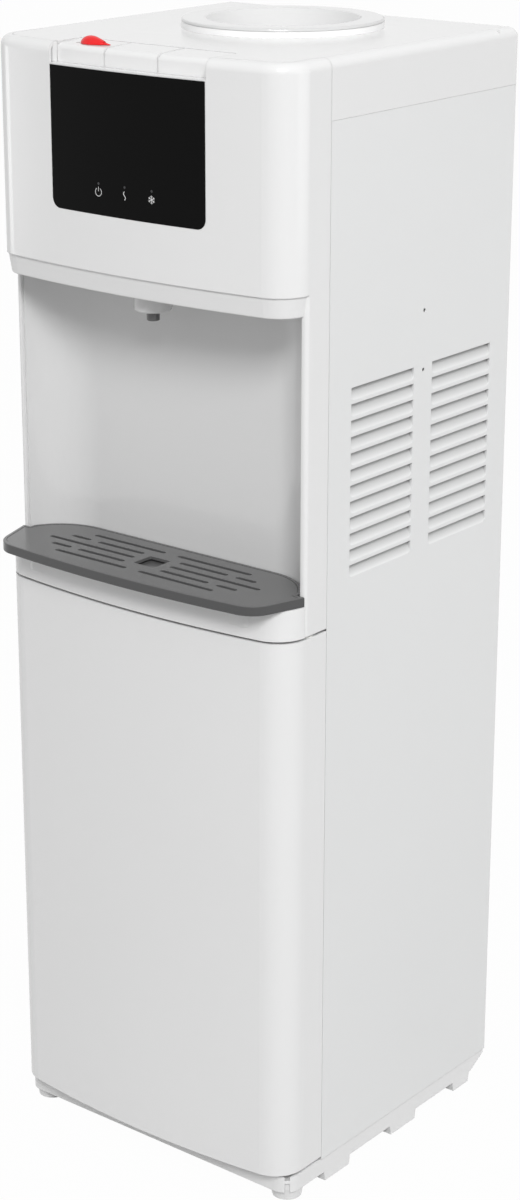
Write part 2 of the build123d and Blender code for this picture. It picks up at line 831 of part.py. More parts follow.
def drip_tray():
    # shallow tray with a basin under the grille
    body = slab(tray_face(), tray_foot, tray_top)
    upper = [e for e in body.edges() if abs(e.center().Z - tray_top) < 0.01]
    body = chamfer(upper, 0.5)
    seat = grille_low() - seam
    body -= slab(tray_face(tray_rim), seat, tray_top + 1)
    body -= slab(tray_face(tray_rim + 4), tray_foot + tray_wall, tray_top)
    basin = rounded_block(
        (-basin_half, basin_half), (-basin_front, -basin_rear),
        (tray_foot - basin_depth, tray_foot + 0.5), basin_corner,
    )
    body += basin
    inside = rounded_block(
        (-basin_half + tray_wall, basin_half - tray_wall),
        (-basin_front + tray_wall, -basin_rear - tray_wall),
        (tray_foot - basin_depth + tray_wall, tray_top), basin_corner - tray_wall,
    )
    return body - inside


def slot(x0, x1, y):
    # long slot of the grille with round ends
    z = (tray_top - grille_thickness - 2, tray_top + 2)
    return rounded_block((x0, x1), (y - slot_width / 2, y + slot_width / 2), z, slot_width / 2 - 0.05)


def drip_grille():
    # flush cover of the tray: five rows of long slots about a square finger hole
    low = grille_low()
    plate = slab(tray_face(tray_rim + seam), low, low + grille_thickness)
    slots = []
    for row in range(-2, 3):
        y = -slot_middle + row * slot_pitch
        if abs(row) == 2:
            spans = [(7.0, 86.0)]
        elif abs(row) == 1:
            spans = [(20.0, 71.0), (80.0, 101.0)]
        else:
            spans = [(20.0, 115.0)]
        for x0, x1 in spans:
            slots += [slot(x0, x1, y), slot(-x1, -x0, y)]
    half = finger_hole / 2
    slots.append(rounded_block(
        (-half, half), (-slot_middle - half, -slot_middle + half), (low - 1, tray_top + 1), 1.5
    ))
    plate = plate.cut(*slots)
    # legs over the basin's floor, between two rows of slots
    leg = block((60, 62), (-46.5, -40.5), (tray_foot - basin_depth + tray_wall + seam, low + 0.5))
    return plate + both_sides(leg)


def grille_low():
    return tray_top - grille_thickness - 0.2


def top_cover():
    # cover with a skirt over the side panels and a tongue that reaches forward between
    # the rims of the head
    outer = block((-half_width, half_width), (0, cover_depth), (skirt_line, top_height))
    rear = [e for e in outer.edges().filter_by(Axis.Z) if e.center().Y > 1]
    outer = fillet(rear, cover_corner)
    outer = fillet(
        [e for e in outer.edges() if abs(e.center().Z - top_height) < 0.01 and e.center().Y > 0.01],
        rim_radius,
    )
    inner = block(
        (-half_width + wall, half_width - wall), (-1, cover_depth - wall),
        (skirt_line - 1, top_height - wall),
    )
    inner = fillet(
        [e for e in inner.edges()
         if abs(e.center().Z - top_height + wall) < 0.01 and e.center().Y > 0.01],
        rim_radius - wall,
    )
    cover = outer - inner
    tongue = slab(
        front_face(fascia_bow, rim_width + seam, 1.0), top_height - wall, top_height
    )
    tongue -= block((-notch_half, notch_half), (-ahead, -notch_rear), (skirt_line, top_height + 1))
    cover += tongue
    # lip that locates the cover inside the side panels and the back panel
    inside = half_width - sheet - seam
    low = skirt_line - cover_tuck
    lip = block((inside - lip_wall, inside), (8, back_y - seam), (low, skirt_line + 4))
    cover += both_sides(lip)
    cover += block(
        (-inside, inside), (back_y - seam - lip_wall, back_y - seam), (low, top_height - wall / 2)
    )
    for x, z in rear_screw_places()[:4]:
        cover -= pin_y(x, z, (back_y - 5, back_y + 1), screw_radius + 0.02)
    cover -= post(0, seat_middle, (top_height - 10, top_height + 1), seat_radius - seat_flange)
    notch = block(
        (cover_notch[0], cover_notch[1]), (cover_depth - 3, cover_depth + 1),
        (top_height - 1.5, top_height + 1),
    )
    return cover - both_sides(notch)


def bottle_seat():
    # collar on the top cover with a funnel, a neck well and the lid of the cold tank
    h = top_height
    lip = h + seat_height
    floor = h - well_depth
    throat = h - funnel_depth
    lid = cold_top + 0.2
    w = seat_wall
    body = turned(
        [
            (seat_radius, h),
            (seat_radius, h + groove_height - groove_width / 2),
            (seat_radius - groove_width, h + groove_height),
            (seat_radius, h + groove_height + groove_width / 2),
            (seat_radius, lip),
            (seat_mouth, lip),
            (seat_mouth - 4.0, lip - 5.0),
            (seat_throat + 3.0, throat),
            (seat_throat, throat - 4.0),
            (seat_throat, floor + w),
            (probe_spigot + 0.2, floor + w),
            (probe_spigot + 0.2, floor),
            (seat_throat + w, floor),
            (seat_throat + w, lid),
            (cold_radius + 4.0, lid),
            (cold_radius + 4.0, lid + w),
            (seat_throat + w, lid + w),
            (seat_throat + w, throat - 5.0),
            (seat_mouth - 1.0, lip - 6.0),
            (seat_mouth + 1.5, lip - w),
            (seat_radius - seat_flange - 2 * w, lip - w),
            (seat_radius - seat_flange - 2 * w, h - 6.0),
            (seat_radius - seat_flange - slip, h - 6.0),
            (seat_radius - seat_flange - slip, h),
        ],
        0, seat_middle,
    )
    rounds = [
        e for e in body.edges().filter_by(GeomType.CIRCLE)
        if abs(e.center().Z - lip) < 0.01
    ]
    body = fillet(rounds, 1.6)
    # drain ports of the well into the tank
    for angle in range(0, 360, 60):
        x = (seat_throat - 8) * math.cos(math.radians(angle))
        y = seat_middle + (seat_throat - 8) * math.sin(math.radians(angle))
        body -= post(x, y, (floor - 1, floor + w + 1), 4.0)
    return body


def feed_probe():
    # hollow spike that opens the bottle's valve, with ports low on its side
    floor = top_height - well_depth
    w = seat_wall
    tip = probe_top
    body = turned(
        [
            (probe_bore, floor - 12), (probe_spigot, floor - 12),
            (probe_spigot, floor + w), (probe_radius + 4, floor + w),
            (probe_radius + 4, floor + w + 2), (probe_radius, floor + w + 4),
            (probe_radius, tip - 7), (probe_radius - 2, tip - 2), (2.0, tip), (0, tip),
            (0, tip - 3), (probe_bore, tip - 6),
        ],
        0, seat_middle,
    )
    for turn in (0, 90):
        port = Location((0, seat_middle, floor + w + 9), (0, 90, turn)) * Cylinder(2.2, 30)
        body -= port
    return body


# ---------------------------------------------------------------- buttons and lock


def button_span(index):
    # limits along X of a button, from left to right
    gap = button_gap / 2
    edges = (-notch_half + 0.7, -button_split, button_split, notch_half - 0.7)
    low = edges[index] + (gap if index > 0 else 0)
    high = edges[index + 1] - (gap if index < 2 else 0)
    return low, high


def stem_x(index):
    low, high = button_span(index)
    return (low + high) / 2


def button_top(y):
    # height of the buttons' sloping top
    run = button_rear + fascia_bow - button_inset
    return top_height - button_sink - button_slope * (button_rear - y) / run


def button_form(inset, x, rear, low, drop):
    side = profile_x(
        [(-ahead, low), (-ahead, button_top(-ahead) - drop), (rear, button_top(rear) - drop), (rear, low)],
        x,
    )
    return side & slab(front_face(fascia_bow, inset), low, top_height + 1)


def button(index):
    # hollow key with a curved front edge, on a stem that ends in a thin actuator
    x = button_span(index)
    middle = stem_x(index)
    outer = button_form(button_inset, x, button_rear, button_low, 0)
    front = [
        e for e in outer.edges()
        if e.center().Z > top_height - 4 and e.center().Y < -48 and abs(e.center().X - middle) < 12
    ]
    outer = fillet(front, button_round)
    inner = button_form(
        button_inset + button_wall, (x[0] + button_wall, x[1] - button_wall),
        button_rear - button_wall, button_low - 1, button_wall,
    )
    key = outer - inner
    stem_low = switch_top + button_travel + slip
    key += post(middle, stem_middle, (stem_low, top_height - button_wall - 0.8), stem_radius)
    key += post(middle, stem_middle, (collar_low, collar_low + 2), collar_radius)
    key += post(middle, stem_middle, (switch_top - 1.5, stem_low + 0.5), tip_radius)
    if index == 0:
        half_slot = lock_neck / 2 + seam
        key -= block(
            lock_slot, (lock_line - half_slot, lock_line + half_slot),
            (top_height - 8, top_height + 1),
        )
    return key


def child_lock():
    # sliding catch on the left button: a round dome that falls away to a thin tail
    z = button_top(lock_line)

    def along(share):
        return lock_left + share * lock_length

    crest = Spline(
        (lock_left, 0), (along(0.06), 3.6), (along(0.2), 5.9), (along(0.4), lock_height),
        (along(0.6), 5.0), (along(0.8), 2.7), (lock_right, 0.9),
        tangents=((0, 1), (1, -0.2)),
    )
    base = Polyline((lock_right, 0.9), (lock_right, 0), (lock_left, 0))
    dome = revolve(make_face([crest, *base.edges()]), Axis.X, 360)
    dome = Pos(0, lock_line, z) * dome
    dome -= button_form(0, (lock_left - 5, lock_right + 5), button_rear + 5, top_height - 20, -seam)
    neck_x = (lock_slot[0] + lock_travel + 3, lock_slot[1] - seam)
    neck_y = (lock_line - lock_neck / 2, lock_line + lock_neck / 2)
    neck = block(neck_x, neck_y, (z - button_wall - 2, z + 2))
    foot = block(
        neck_x, (neck_y[0] - 1.8, neck_y[1] + 1.8),
        (z - button_wall - 3.6, button_top(neck_y[0] - 1.8) - button_wall - seam),
    )
    return dome + neck + foot


def button_carrier():
    # moulded guide under the buttons, hung on the cheeks of the notch
    low = carrier_top - carrier_plate
    plate = block((-notch_half + 0.2, notch_half - 0.2), (-52, -notch_rear + 2), (low, carrier_top))
    for index in range(3):
        x = stem_x(index)
        plate += post(x, stem_middle, (low - 3, carrier_top + 5), stem_radius + sleeve_wall)
        plate -= post(x, stem_middle, (low - 4, carrier_top + 6), stem_radius + 2 * pin_clearance)
    high = button_low - button_travel - slip
    ends = block((notch_half - 3, notch_half), (-50, -notch_rear - 8), (low, high))
    return plate + both_sides(ends)


def switch_board():
    # printed board with one switch housing under each stem, on two posts of the carrier
    low = switch_top - switch_height
    half = notch_half - 6.6
    board = block((-half, half), (-50, -20), (low - board_thickness, low))
    for index in range(3):
        x = stem_x(index)
        board += block((x - 6, x + 6), (stem_middle - 4, stem_middle + 4), (low, switch_top))
        board -= post(x, stem_middle, (low + 1.5, switch_top + 1), tip_radius + 0.4)
    for x in (-button_split, button_split):
        board += post(x, -45, (low - 0.1, carrier_top - carrier_plate), 2.5)
    return board


def button_spring(index):
    # return spring round the guide sleeve, between the carrier and the stem's collar
    length = collar_low - carrier_top - 2 * spring_wire - 0.2
    radius = stem_radius + sleeve_wall + spring_wire + slip
    path = Helix(length / spring_turns, length, radius)
    section = Plane(origin=path @ 0, z_dir=path % 0) * RegularPolygon(spring_wire, 6)
    coil = sweep(section, path=path, is_frenet=True)
    return Pos(stem_x(index), stem_middle, carrier_top + spring_wire + 0.1) * coil


# ---------------------------------------------------------------- water path


def outlet_nozzle():
    edge = 0.5
    tube = turned(
        [
            (nozzle_bore, nozzle_foot), (nozzle_radius - edge, nozzle_foot),
            (nozzle_radius, nozzle_foot + edge), (nozzle_radius, manifold_height),
            (nozzle_bore, manifold_height),
        ],
        0, manifold_y,
    )
    roof = chin_foot + ceiling
    collar = post(0, manifold_y, (roof, roof + 3), nozzle_radius + 3)
    return tube + (collar - post(0, manifold_y, (roof - 1, roof + 4), nozzle_radius - 0.1))


def valve_manifold():
    # bar that gathers the three valves into the nozzle, with two feet on the ceiling
    half = manifold_depth / 2
    ends = (valve_x[0] - half - 6, valve_x[2] + half + 6)
    bar = block(ends, (manifold_y - half, manifold_y + half), (manifold_height, valve_low))
    bar -= block(
        (valve_x[0], valve_x[2]), (manifold_y - nozzle_bore, manifold_y + nozzle_bore),
        (manifold_height + 4, manifold_height + 10),
    )
    bar -= post(0, manifold_y, (manifold_height - 1, manifold_height + 5), nozzle_bore)
    for x in (ends[0] + 4, ends[1] - 4):
        bar += post(x, manifold_y, (chin_foot + ceiling, manifold_height + 1), 3.5)
    return bar


def valve(index):
    # solenoid valve: body on the manifold, coil in its frame and an inlet towards the rear
    x, y, low = valve_x[index], manifold_y, valve_low
    body = block((x - 11, x + 11), (y - 10, y + 10), (low, low + 14))
    body += post(x, y, (low + 13, low + 20), 7)
    winding = post(x, y, (low + 17, low + 43), coil_radius)
    frame = block((x - coil_radius - 1, x + coil_radius + 1), (y - 9, y + 9), (low + 15, low + 45))
    frame -= block((x - 20, x + 20), (y - 7, y + 10), (low + 17, low + 43))
    inlet = pin_y(x, inlet_z, (y + 9, inlet_y), hose_radius - 0.5)
    inlet -= pin_y(x, inlet_z, (y + 12, inlet_y + 1), hose_radius - hose_wall)
    return body + winding + frame + inlet


def cold_tank():
    # steel reservoir, open to the seat above, with two outlets in front and one below
    r, w = cold_radius, tank_wall
    body = turned(
        [
            (0, cold_foot), (r - 8, cold_foot), (r, cold_foot + 8), (r, cold_top),
            (r - w, cold_top), (r - w, cold_foot + 9), (r - 9, cold_foot + w), (0, cold_foot + w),
        ],
        0, seat_middle,
    )
    for x, z in (cold_outlet, room_outlet):
        end = seat_middle - math.sqrt((r - w) ** 2 - x**2) + 1
        body += pin_y(x, z, (outlet_front, end), hose_radius)
        body -= pin_y(x, z, (outlet_front - 1, end + 3), hose_radius - hose_wall)
    body += post(0, seat_middle, (foam_foot, cold_foot + w / 2), 7.2)
    return body - post(0, seat_middle, (foam_foot - 1, cold_foot + 2), 5.8)


def cold_tank_foam():
    # two halves of insulation that close round the tank, its coil and its outlets
    foam = rounded_block(
        (-foam_half, foam_half), (foam_front, foam_rear), (foam_foot, foam_top), 14.0
    )
    room = coil_line + coil_tube + 1.0
    foam -= post(0, seat_middle, (cold_foot - 0.5, foam_top + 1), room)
    foam -= post(0, seat_middle, (foam_foot - 1, cold_foot), 7.5)
    for x, z in (cold_outlet, room_outlet):
        foam -= pin_y(x, z, (0, seat_middle), hose_radius + seam)
    for y, z in (coil_lead(0), coil_lead(1)):
        half = coil_tube + 1.0
        foam -= block(
            (coil_line - half, foam_half + 1), (min(y, seat_middle) - half, max(y, seat_middle) + half),
            (z - half, z + half),
        )
    return foam - block((-seam / 2, seam / 2), (0, back_y), (foam_foot - 1, foam_top + 1))


def coil_end(end):
    # height of the coil's lower (0) or upper (1) end
    return cold_foot + 34 + end * coil_pitch * coil_turns


def coil_lead(end):
    # place along Y and height of a lead's run out through the foam; it leaves the coil
    # along the coil's own slope
    run = 27.7 if end else -27.3
    return seat_middle + run, coil_end(end) + run * coil_pitch / (2 * math.pi * coil_line)


def evaporator_coil():
    # tube wound round the tank, with its two leads out through the foam's side
    path = Helix(coil_pitch, coil_pitch * coil_turns, coil_line)
    section = Plane(origin=path @ 0, z_dir=path % 0) * RegularPolygon(coil_tube, 10)
    tubes = [Pos(0, seat_middle, coil_end(0)) * sweep(section, path=path, is_frenet=True)]
    for end in (0, 1):
        y, z = coil_lead(end)
        tubes.append(pipe(
            [(coil_line, seat_middle, coil_end(end)), (coil_line, y, z), (foam_half - 4, y, z)],
            8.0, coil_tube,
        ))
    return Compound(tubes)


def hot_tank():
    # small boiler with domed ends, a feed from above, an outlet at the side and a drain
    r = hot_radius
    body = turned(
        [
            (0, hot_foot), (r - 14, hot_foot + 2), (r - 4, hot_foot + 8), (r, hot_foot + 18),
            (r, hot_top - 18), (r - 4, hot_top - 8), (r - 14, hot_top - 2), (0, hot_top),
        ],
        0, hot_middle,
    )
    body += post(0, seat_middle, (hot_top - 14, foam_foot + 8), 5.5)
    body += pin_x(hot_middle, hot_outlet, (-r - jacket - 12, -r + 2), barb_radius)
    return body + post(0, hot_middle, (hot_foot - jacket - 12, hot_foot + 1), barb_radius)


def pin_x(y, z, x, radius):
    return Location(((x[0] + x[1]) / 2, y, z), (0, 90, 0)) * Cylinder(radius, x[1] - x[0])


def hot_tank_jacket():
    # insulation moulded round the boiler and its heater
    r = hot_radius + band_thickness + slip
    low, high = hot_foot - jacket, hot_top + jacket
    body = post(0, hot_middle, (low, high), r + jacket - 2)
    rims = body.edges().filter_by(GeomType.CIRCLE)
    body = fillet(rims, 6.0)
    body -= post(0, hot_middle, (hot_foot - seam, hot_top + seam), r)
    body -= post(0, seat_middle, (hot_top - 14, high + 1), 5.8)
    body -= pin_x(hot_middle, hot_outlet, (-r - jacket, -r + 5), barb_radius + seam)
    body -= post(0, hot_middle, (low - 1, hot_foot + 1), barb_radius + seam)
    # seats for the boiler's shoulders, so that it can't shift in the jacket
    for z in (hot_foot + 20, hot_top - 42):
        ring = post(0, hot_middle, (z, z + 6), r + 1) - post(0, hot_middle, (z - 1, z + 7), hot_radius)
        body += ring
    return body


def heater_band():
    # clamped heater round the middle of the boiler, split where its clamp closes
    inner = hot_radius + 0.02
    height = hot_top - hot_foot
    z = (hot_foot + 0.3 * height, hot_foot + 0.633 * height)
    band = post(0, hot_middle, z, inner + band_thickness)
    band -= post(0, hot_middle, (z[0] - 1, z[1] + 1), inner)
    band -= block((-4, 4), (hot_middle - inner - 10, hot_middle), (z[0] - 1, z[1] + 1))
    return band


def tank_frame():
    # steel frame on the rear panel, with a shelf for each tank
    low = hot_foot - jacket - frame_sheet
    high = foam_foot - frame_sheet
    r = hot_radius
    plate = block((-r, r), (back_y - frame_sheet, back_y), (low - 30, high + frame_sheet))
    lower = block((-r, r), (hot_middle - 42, back_y), (low, low + frame_sheet))
    upper = block((-foam_half + 8, foam_half - 8), (seat_middle - 84, back_y), (high, high + frame_sheet))
    lower -= post(0, hot_middle, (low - 1, low + 3), 8)
    upper -= post(0, seat_middle, (high - 1, high + 3), 8)
    side = foam_half - 12
    rib = profile_x(
        [(back_y - 0.5, high - 40), (seat_middle - 60, high + 0.5), (back_y - 0.5, high + 0.5)],
        (side - frame_sheet, side),
    )
    wing = block((r - 1, side), (back_y - frame_sheet, back_y), (high - 40, high))
    frame = plate + lower + upper + both_sides(rib + wing)
    for x, z in rear_screw_places()[4:]:
        frame -= pin_y(x, z, (back_y - 5, back_y + 1), screw_radius + 0.02)
    return frame


def cold_hose():
    # from the cold outlet forward to the right-hand valve
    x, z = cold_outlet
    return pipe(
        [(x, outlet_front, z), (x, hose_y, z), (x, hose_y, inlet_z), (x, inlet_y, inlet_z)],
        hose_bend, hose_radius, hose_radius - hose_wall,
    )


def room_hose():
    # from the outlet above the cold zone down to the middle valve
    x, z = room_outlet
    return pipe(
        [(x, outlet_front, z), (x, hose_y, z), (x, hose_y, inlet_z), (x, inlet_y, inlet_z)],
        hose_bend, hose_radius, hose_radius - hose_wall,
    )


def hot_hose():
    # from the boiler's side outlet up past the foam and forward to the left-hand valve
    side = -foam_half - 16.0
    return pipe(
        [
            (-hot_radius - jacket - 6, hot_middle, hot_outlet), (side, hot_middle, hot_outlet),
            (side, hot_middle, inlet_z), (side, hose_y, inlet_z), (valve_x[0], hose_y, inlet_z),
            (valve_x[0], inlet_y, inlet_z),
        ],
        hose_bend, hose_radius, hose_radius - hose_wall,
    )


def drain_hose():
    # from the boiler's drain down behind the storage liner to the drain spigot
    turn = hot_foot - jacket - 33
    return pipe(
        [
            (0, hot_middle, hot_foot - jacket - 4), (0, hot_middle, turn),
            (drain_x, hot_middle, turn), (drain_x, riser_y, turn),
            (drain_x, riser_y, drain_height + 12),
        ],
        hose_bend, hose_radius, hose_radius - hose_wall,
    )


def drain_spigot():
    # elbow through the rear panel, flanged outside
    x, z, face = drain_x, drain_height, back_y + sheet
    body = pin_y(x, z, (riser_y - 6, face + 14), drain_radius)
    body += pin_y(x, z, (face, face + 2), drain_radius + 4)
    body += post(x, riser_y, (z, z + 24), barb_radius)
    bore = pin_y(x, z, (riser_y - 2, face + 15), drain_radius - cap_wall)
    return body - bore


def drain_cap():
    # ribbed cap over the spigot
    x, z, face = drain_x, drain_height, back_y + sheet
    inner = drain_radius + seam
    cap = pin_y(x, z, (face + 2 + seam, face + 14 + seam + cap_wall), inner + cap_wall)
    rim = cap.edges().filter_by(GeomType.CIRCLE).sort_by(Axis.Y)[-1]
    cap = fillet(rim, 1.2)
    cap -= pin_y(x, z, (face, face + 14 + seam), inner)
    for turn in range(12):
        angle = math.radians(30.0 * turn)
        reach = inner + cap_wall
        cap -= pin_y(
            x + reach * math.cos(angle), z + reach * math.sin(angle), (face, face + 13), 0.9
        )
    return cap


# ---------------------------------------------------------------- refrigeration


def compressor():
    # hermetic pot of two drawn shells on a base plate
    r = compressor_radius
    foot = base_floor + base_wall + grommet_height
    pot = turned(
        [
            (0, foot), (r - 12, foot), (r - 3, foot + 10), (r - 3, foot + 84), (r, foot + 87),
            (r, foot + 95), (r - 3, foot + 98), (r - 6, foot + compressor_height - 30),
            (r - 18, foot + compressor_height - 9), (r - 34, foot + compressor_height),
            (0, foot + compressor_height),
        ],
        compressor_x, compressor_y,
    )
    places = grommet_places()
    x = (places[0][0] - 9, places[-1][0] + 9)
    y = (places[0][1] - 9, places[1][1] + 9)
    plate = rounded_block(x, y, (foot, foot + 2.5), 7.0)
    for gx, gy in places:
        plate -= post(gx, gy, (foot - 1, foot + 4), 5.0)
    return pot + plate


def compressor_grommets():
    # rubber spools between the base plate and the pan's pins
    foot = base_floor + base_wall
    seat = foot + grommet_height
    bore = grommet_pin + 0.05
    spools = [
        turned(
            [
                (bore, foot), (8, foot), (7, foot + 5), (8, seat - 0.02), (4.9, seat), (4.9, seat + 2.5),
                (7, seat + 2.6), (6, seat + 4.5), (bore, seat + 4.5),
            ],
            x, y,
        )
        for x, y in grommet_places()
    ]
    return Compound(spools)


def terminal_cover():
    # clip-on cover with the overload protector on the compressor's side
    foot = base_floor + base_wall + grommet_height
    left = compressor_x - compressor_radius
    cover = rounded_block(
        (left - 20, left + 8), (compressor_y - 18, compressor_y + 18), (foot + 40, foot + 82), 3.0
    )
    return cover - post(compressor_x, compressor_y, (foot, foot + 90), compressor_radius - 3 + 0.05)


def condenser():
    # one tube folded back and forth, with upright wires welded on both of its faces
    half = condenser_half
    points = []
    for row in range(condenser_passes):
        z = condenser_foot + row * condenser_pitch
        ends = (half, -half) if row % 2 == 0 else (-half, half)
        points += [(ends[0], pipe_y, z), (ends[1], pipe_y, z)]
    grid = pipe(points, condenser_pitch / 2 - 1, condenser_tube)
    top = condenser_foot + (condenser_passes - 1) * condenser_pitch + 7
    wires = []
    for face in (-1, 1):
        y = pipe_y + face * (condenser_tube + condenser_wire / 2 - 0.3)
        for i in range(condenser_wires):
            x = wire_x(i)
            wires.append(block(
                (x - condenser_wire / 2, x + condenser_wire / 2),
                (y - condenser_wire / 2, y + condenser_wire / 2), (condenser_foot - 7, top),
            ))
    return grid.fuse(*wires)


def wire_x(place):
    half = condenser_half - condenser_pitch / 2
    return -half + place * 2 * half / (condenser_wires - 1)


def condenser_clips():
    # stand-offs that hold the folded tube off the rear panel
    clips = []
    for x in (wire_x(1.5), wire_x(condenser_wires - 2.5)):
        for row in (1, condenser_passes - 2):
            z = condenser_foot + row * condenser_pitch
            clip = block((x - 3, x + 3), (back_y + sheet, pipe_y), (z - 6, z + 6))
            clip -= pin_x(pipe_y, z, (x - 4, x + 4), condenser_tube)
            clips.append(clip)
    return Compound(clips)


def filter_drier():
    # copper drier between the condenser's lower end and the capillary
    r, low, high = drier_radius, drier_foot, drier_foot + drier_length
    return turned(
        [
            (0, low - 8), (capillary_radius + 1, low - 8), (r - 2, low), (r, low + 6), (r, high - 6),
            (r - 2, high), (pipe_radius + 1, high + 8), (0, high + 8),
        ],
        drier_x, pipe_y,
    )


def refrigerant_pipes():
    # discharge, liquid, capillary and suction lines
    foot = base_floor + base_wall + grommet_height
    flank = compressor_x + compressor_radius - 8
    top = condenser_foot + (condenser_passes - 1) * condenser_pitch
    drier_top = drier_foot + drier_length + 8
    out_y, out_z = coil_lead(0)
    back_lead_y, back_lead_z = coil_lead(1)
    discharge = pipe(
        [
            (flank, compressor_y, foot + 70), (discharge_x, compressor_y, foot + 70),
            (discharge_x, pipe_y, foot + 70), (discharge_x, pipe_y, top), (condenser_half, pipe_y, top),
        ],
        8.0, pipe_radius,
    )
    liquid = pipe(
        [
            (condenser_half, pipe_y, condenser_foot), (drier_x, pipe_y, condenser_foot),
            (drier_x, pipe_y, drier_top),
        ],
        6.0, pipe_radius,
    )
    capillary = pipe(
        [
            (drier_x, pipe_y, drier_foot - 8), (drier_x, pipe_y, drier_foot - 20),
            (capillary_x, riser_y, drier_foot - 20), (capillary_x, riser_y, out_z),
            (capillary_x, out_y, out_z), (foam_half - 4, out_y, out_z),
        ],
        3.5, capillary_radius,
    )
    suction = pipe(
        [
            (foam_half - 4, back_lead_y, back_lead_z), (suction_x, back_lead_y, back_lead_z),
            (suction_x, riser_y, back_lead_z), (suction_x, riser_y, foot + 108),
            (compressor_x + 44, riser_y, foot + 108),
        ],
        7.0, coil_tube,
    )
    pot = compressor()
    return Compound([discharge - pot, liquid, capillary, suction - pot])


# ---------------------------------------------------------------- rear switches


def rocker_pivot():
    return back_y + sheet + 1.0, rocker_height


def switch_housing():
    # flanged housing with a window and two pivot holes for each rocker
    y, z = rocker_pivot()
    face = back_y + sheet
    window = rocker_radius + slip
    ends = (rocker_x[0] - 16, rocker_x[1] + 16)
    body = rounded_block(ends, (face, face + 1.6), (z - 18, z + 18), 0.7)
    body += block((ends[0] + 2, ends[1] - 2), (back_y - 16, face + 0.1), (z - 14.5, z + 14.5))
    for x in rocker_x:
        side = rocker_width / 2 + seam
        body -= block((x - side, x + side), (back_y - 12, face + 3), (z - window, z + window))
        body -= pin_x(y, z, (x - side - 2.4, x + side + 2.4), 1.2 + pin_clearance)
    return body


def rocker(index):
    # key on two short pivots, its face a shallow V, tipped to its resting side
    x = rocker_x[index]
    half = rocker_width / 2
    round_part = pin_x(0, 0, (x - half, x + half), rocker_radius)
    face = profile_x([(-5, -12), (4.5, -12), (2.0, 0), (4.5, 12), (-5, 12)], (x - half, x + half))
    key = round_part & face
    key += pin_x(0, 0, (x - half - 2, x + half + 2), 1.2)
    y, z = rocker_pivot()
    return Pos(0, y, z) * Rot(-rocker_turn / 2, 0, 0) * key


# ---------------------------------------------------------------- door and hinges


def bush_radius():
    return hinge_pin_radius + pin_clearance + bush_wall


def door_ends():
    return door_foot, door_line - door_gap / 2


def finger_pull(grow=0.0):
    # rounded groove in the left edge of the door
    x, y = -half_width - 2.0, -8.0
    radius = pull_radius + grow
    low, high = pull_height - pull_length / 2, pull_height + pull_length / 2
    groove = post(x, y, (low, high), radius)
    return groove + Pos(x, y, low) * Sphere(radius) + Pos(x, y, high) * Sphere(radius)


def door_outer():
    # bulging moulded shell with the hinge bosses and the finger pull
    low, high = door_ends()
    rear = -door_rear_gap
    shell = slab(front_face(front_bow, 0, rear), low, high)
    shell -= slab(front_face(front_bow, wall, rear + 1), low + wall, high - wall)
    boss = post(hinge_x, -hinge_front, (low, low + hinge_pin_length + 4), bush_radius() + boss_wall)
    boss += post(hinge_x, -hinge_front, (high - hinge_pin_length - 4, high), bush_radius() + boss_wall)
    pad = finger_pull(wall) & slab(front_face(front_bow, 0.5, -3.4 - seam), low + wall, high - wall)
    shell += (boss & slab(front_face(front_bow, 0.5, rear), low, high)) + pad
    ribs = [
        block((-half_width + 1, half_width - 1), (-60, -22), (z, z + 1.8))
        & slab(front_face(front_bow, 1.0), z - 1, z + 3)
        - slab(front_face(front_bow, 14.0, 5), z - 1, z + 3)
        for z in [low + share * (high - low) for share in (0.245, 0.5, 0.755)]
    ]
    shell = shell.fuse(*ribs) - finger_pull()
    for x, y, z0, z1 in hinge_bores():
        shell -= post(x, y, (z0, z1), bush_radius() + 0.02)
    return shell


def hinge_bores():
    low, high = door_ends()
    depth = hinge_pin_length + 2
    return [
        (hinge_x, -hinge_front, low - 1, low + depth),
        (hinge_x, -hinge_front, high - depth, high + 1),
    ]


def door_liner():
    # dished inner panel that closes the shell, with the slot for the magnet
    low, high = door_ends()
    edge = wall + 0.1
    face_y = -1.0
    plate = block(
        (-half_width + edge, half_width - edge), (face_y - 2.4, face_y), (low + edge, high - edge)
    )
    frame = block((-dish_half - 5, dish_half + 5), (-40, 5), (dish_foot - 5, dish_top + 5))
    corners = frame.edges().filter_by(Axis.Y)
    frame = fillet(corners, 18.0)
    pan = frame & block((-half_width, half_width), (face_y - dish_depth - 2, face_y), (low, high))
    hollow = fillet(
        block((-dish_half, dish_half), (-40, 5), (dish_foot, dish_top)).edges().filter_by(Axis.Y), 14.0
    )
    hollow = hollow & block((-half_width, half_width), (face_y - dish_depth, 5), (low, high))
    rear = [e for e in hollow.edges() if e.center().Y < face_y - dish_depth + 0.1]
    hollow = fillet(rear, 5.0)
    liner = plate + pan - hollow
    for x, y, z0, z1 in hinge_bores():
        liner -= post(x, y, (z0 - 2, z1 + 4), bush_radius() + boss_wall + 0.2)
    liner -= finger_pull(0.1)
    return liner - magnet_block(0.1)


def magnet_block(grow=0.0):
    return block(
        (-half_width + 5 - grow, -half_width + 17 + grow), (-6 - grow, frame_setback - 0.5 + grow),
        (magnet_height - 17 - grow, magnet_height + 17 + grow),
    )


def door_magnet():
    # catch that holds the door to the steel flange of the left side panel
    body = magnet_block()
    edges = [e for e in body.edges() if e.center().Y > frame_setback - 0.6]
    return chamfer(edges, 0.6)


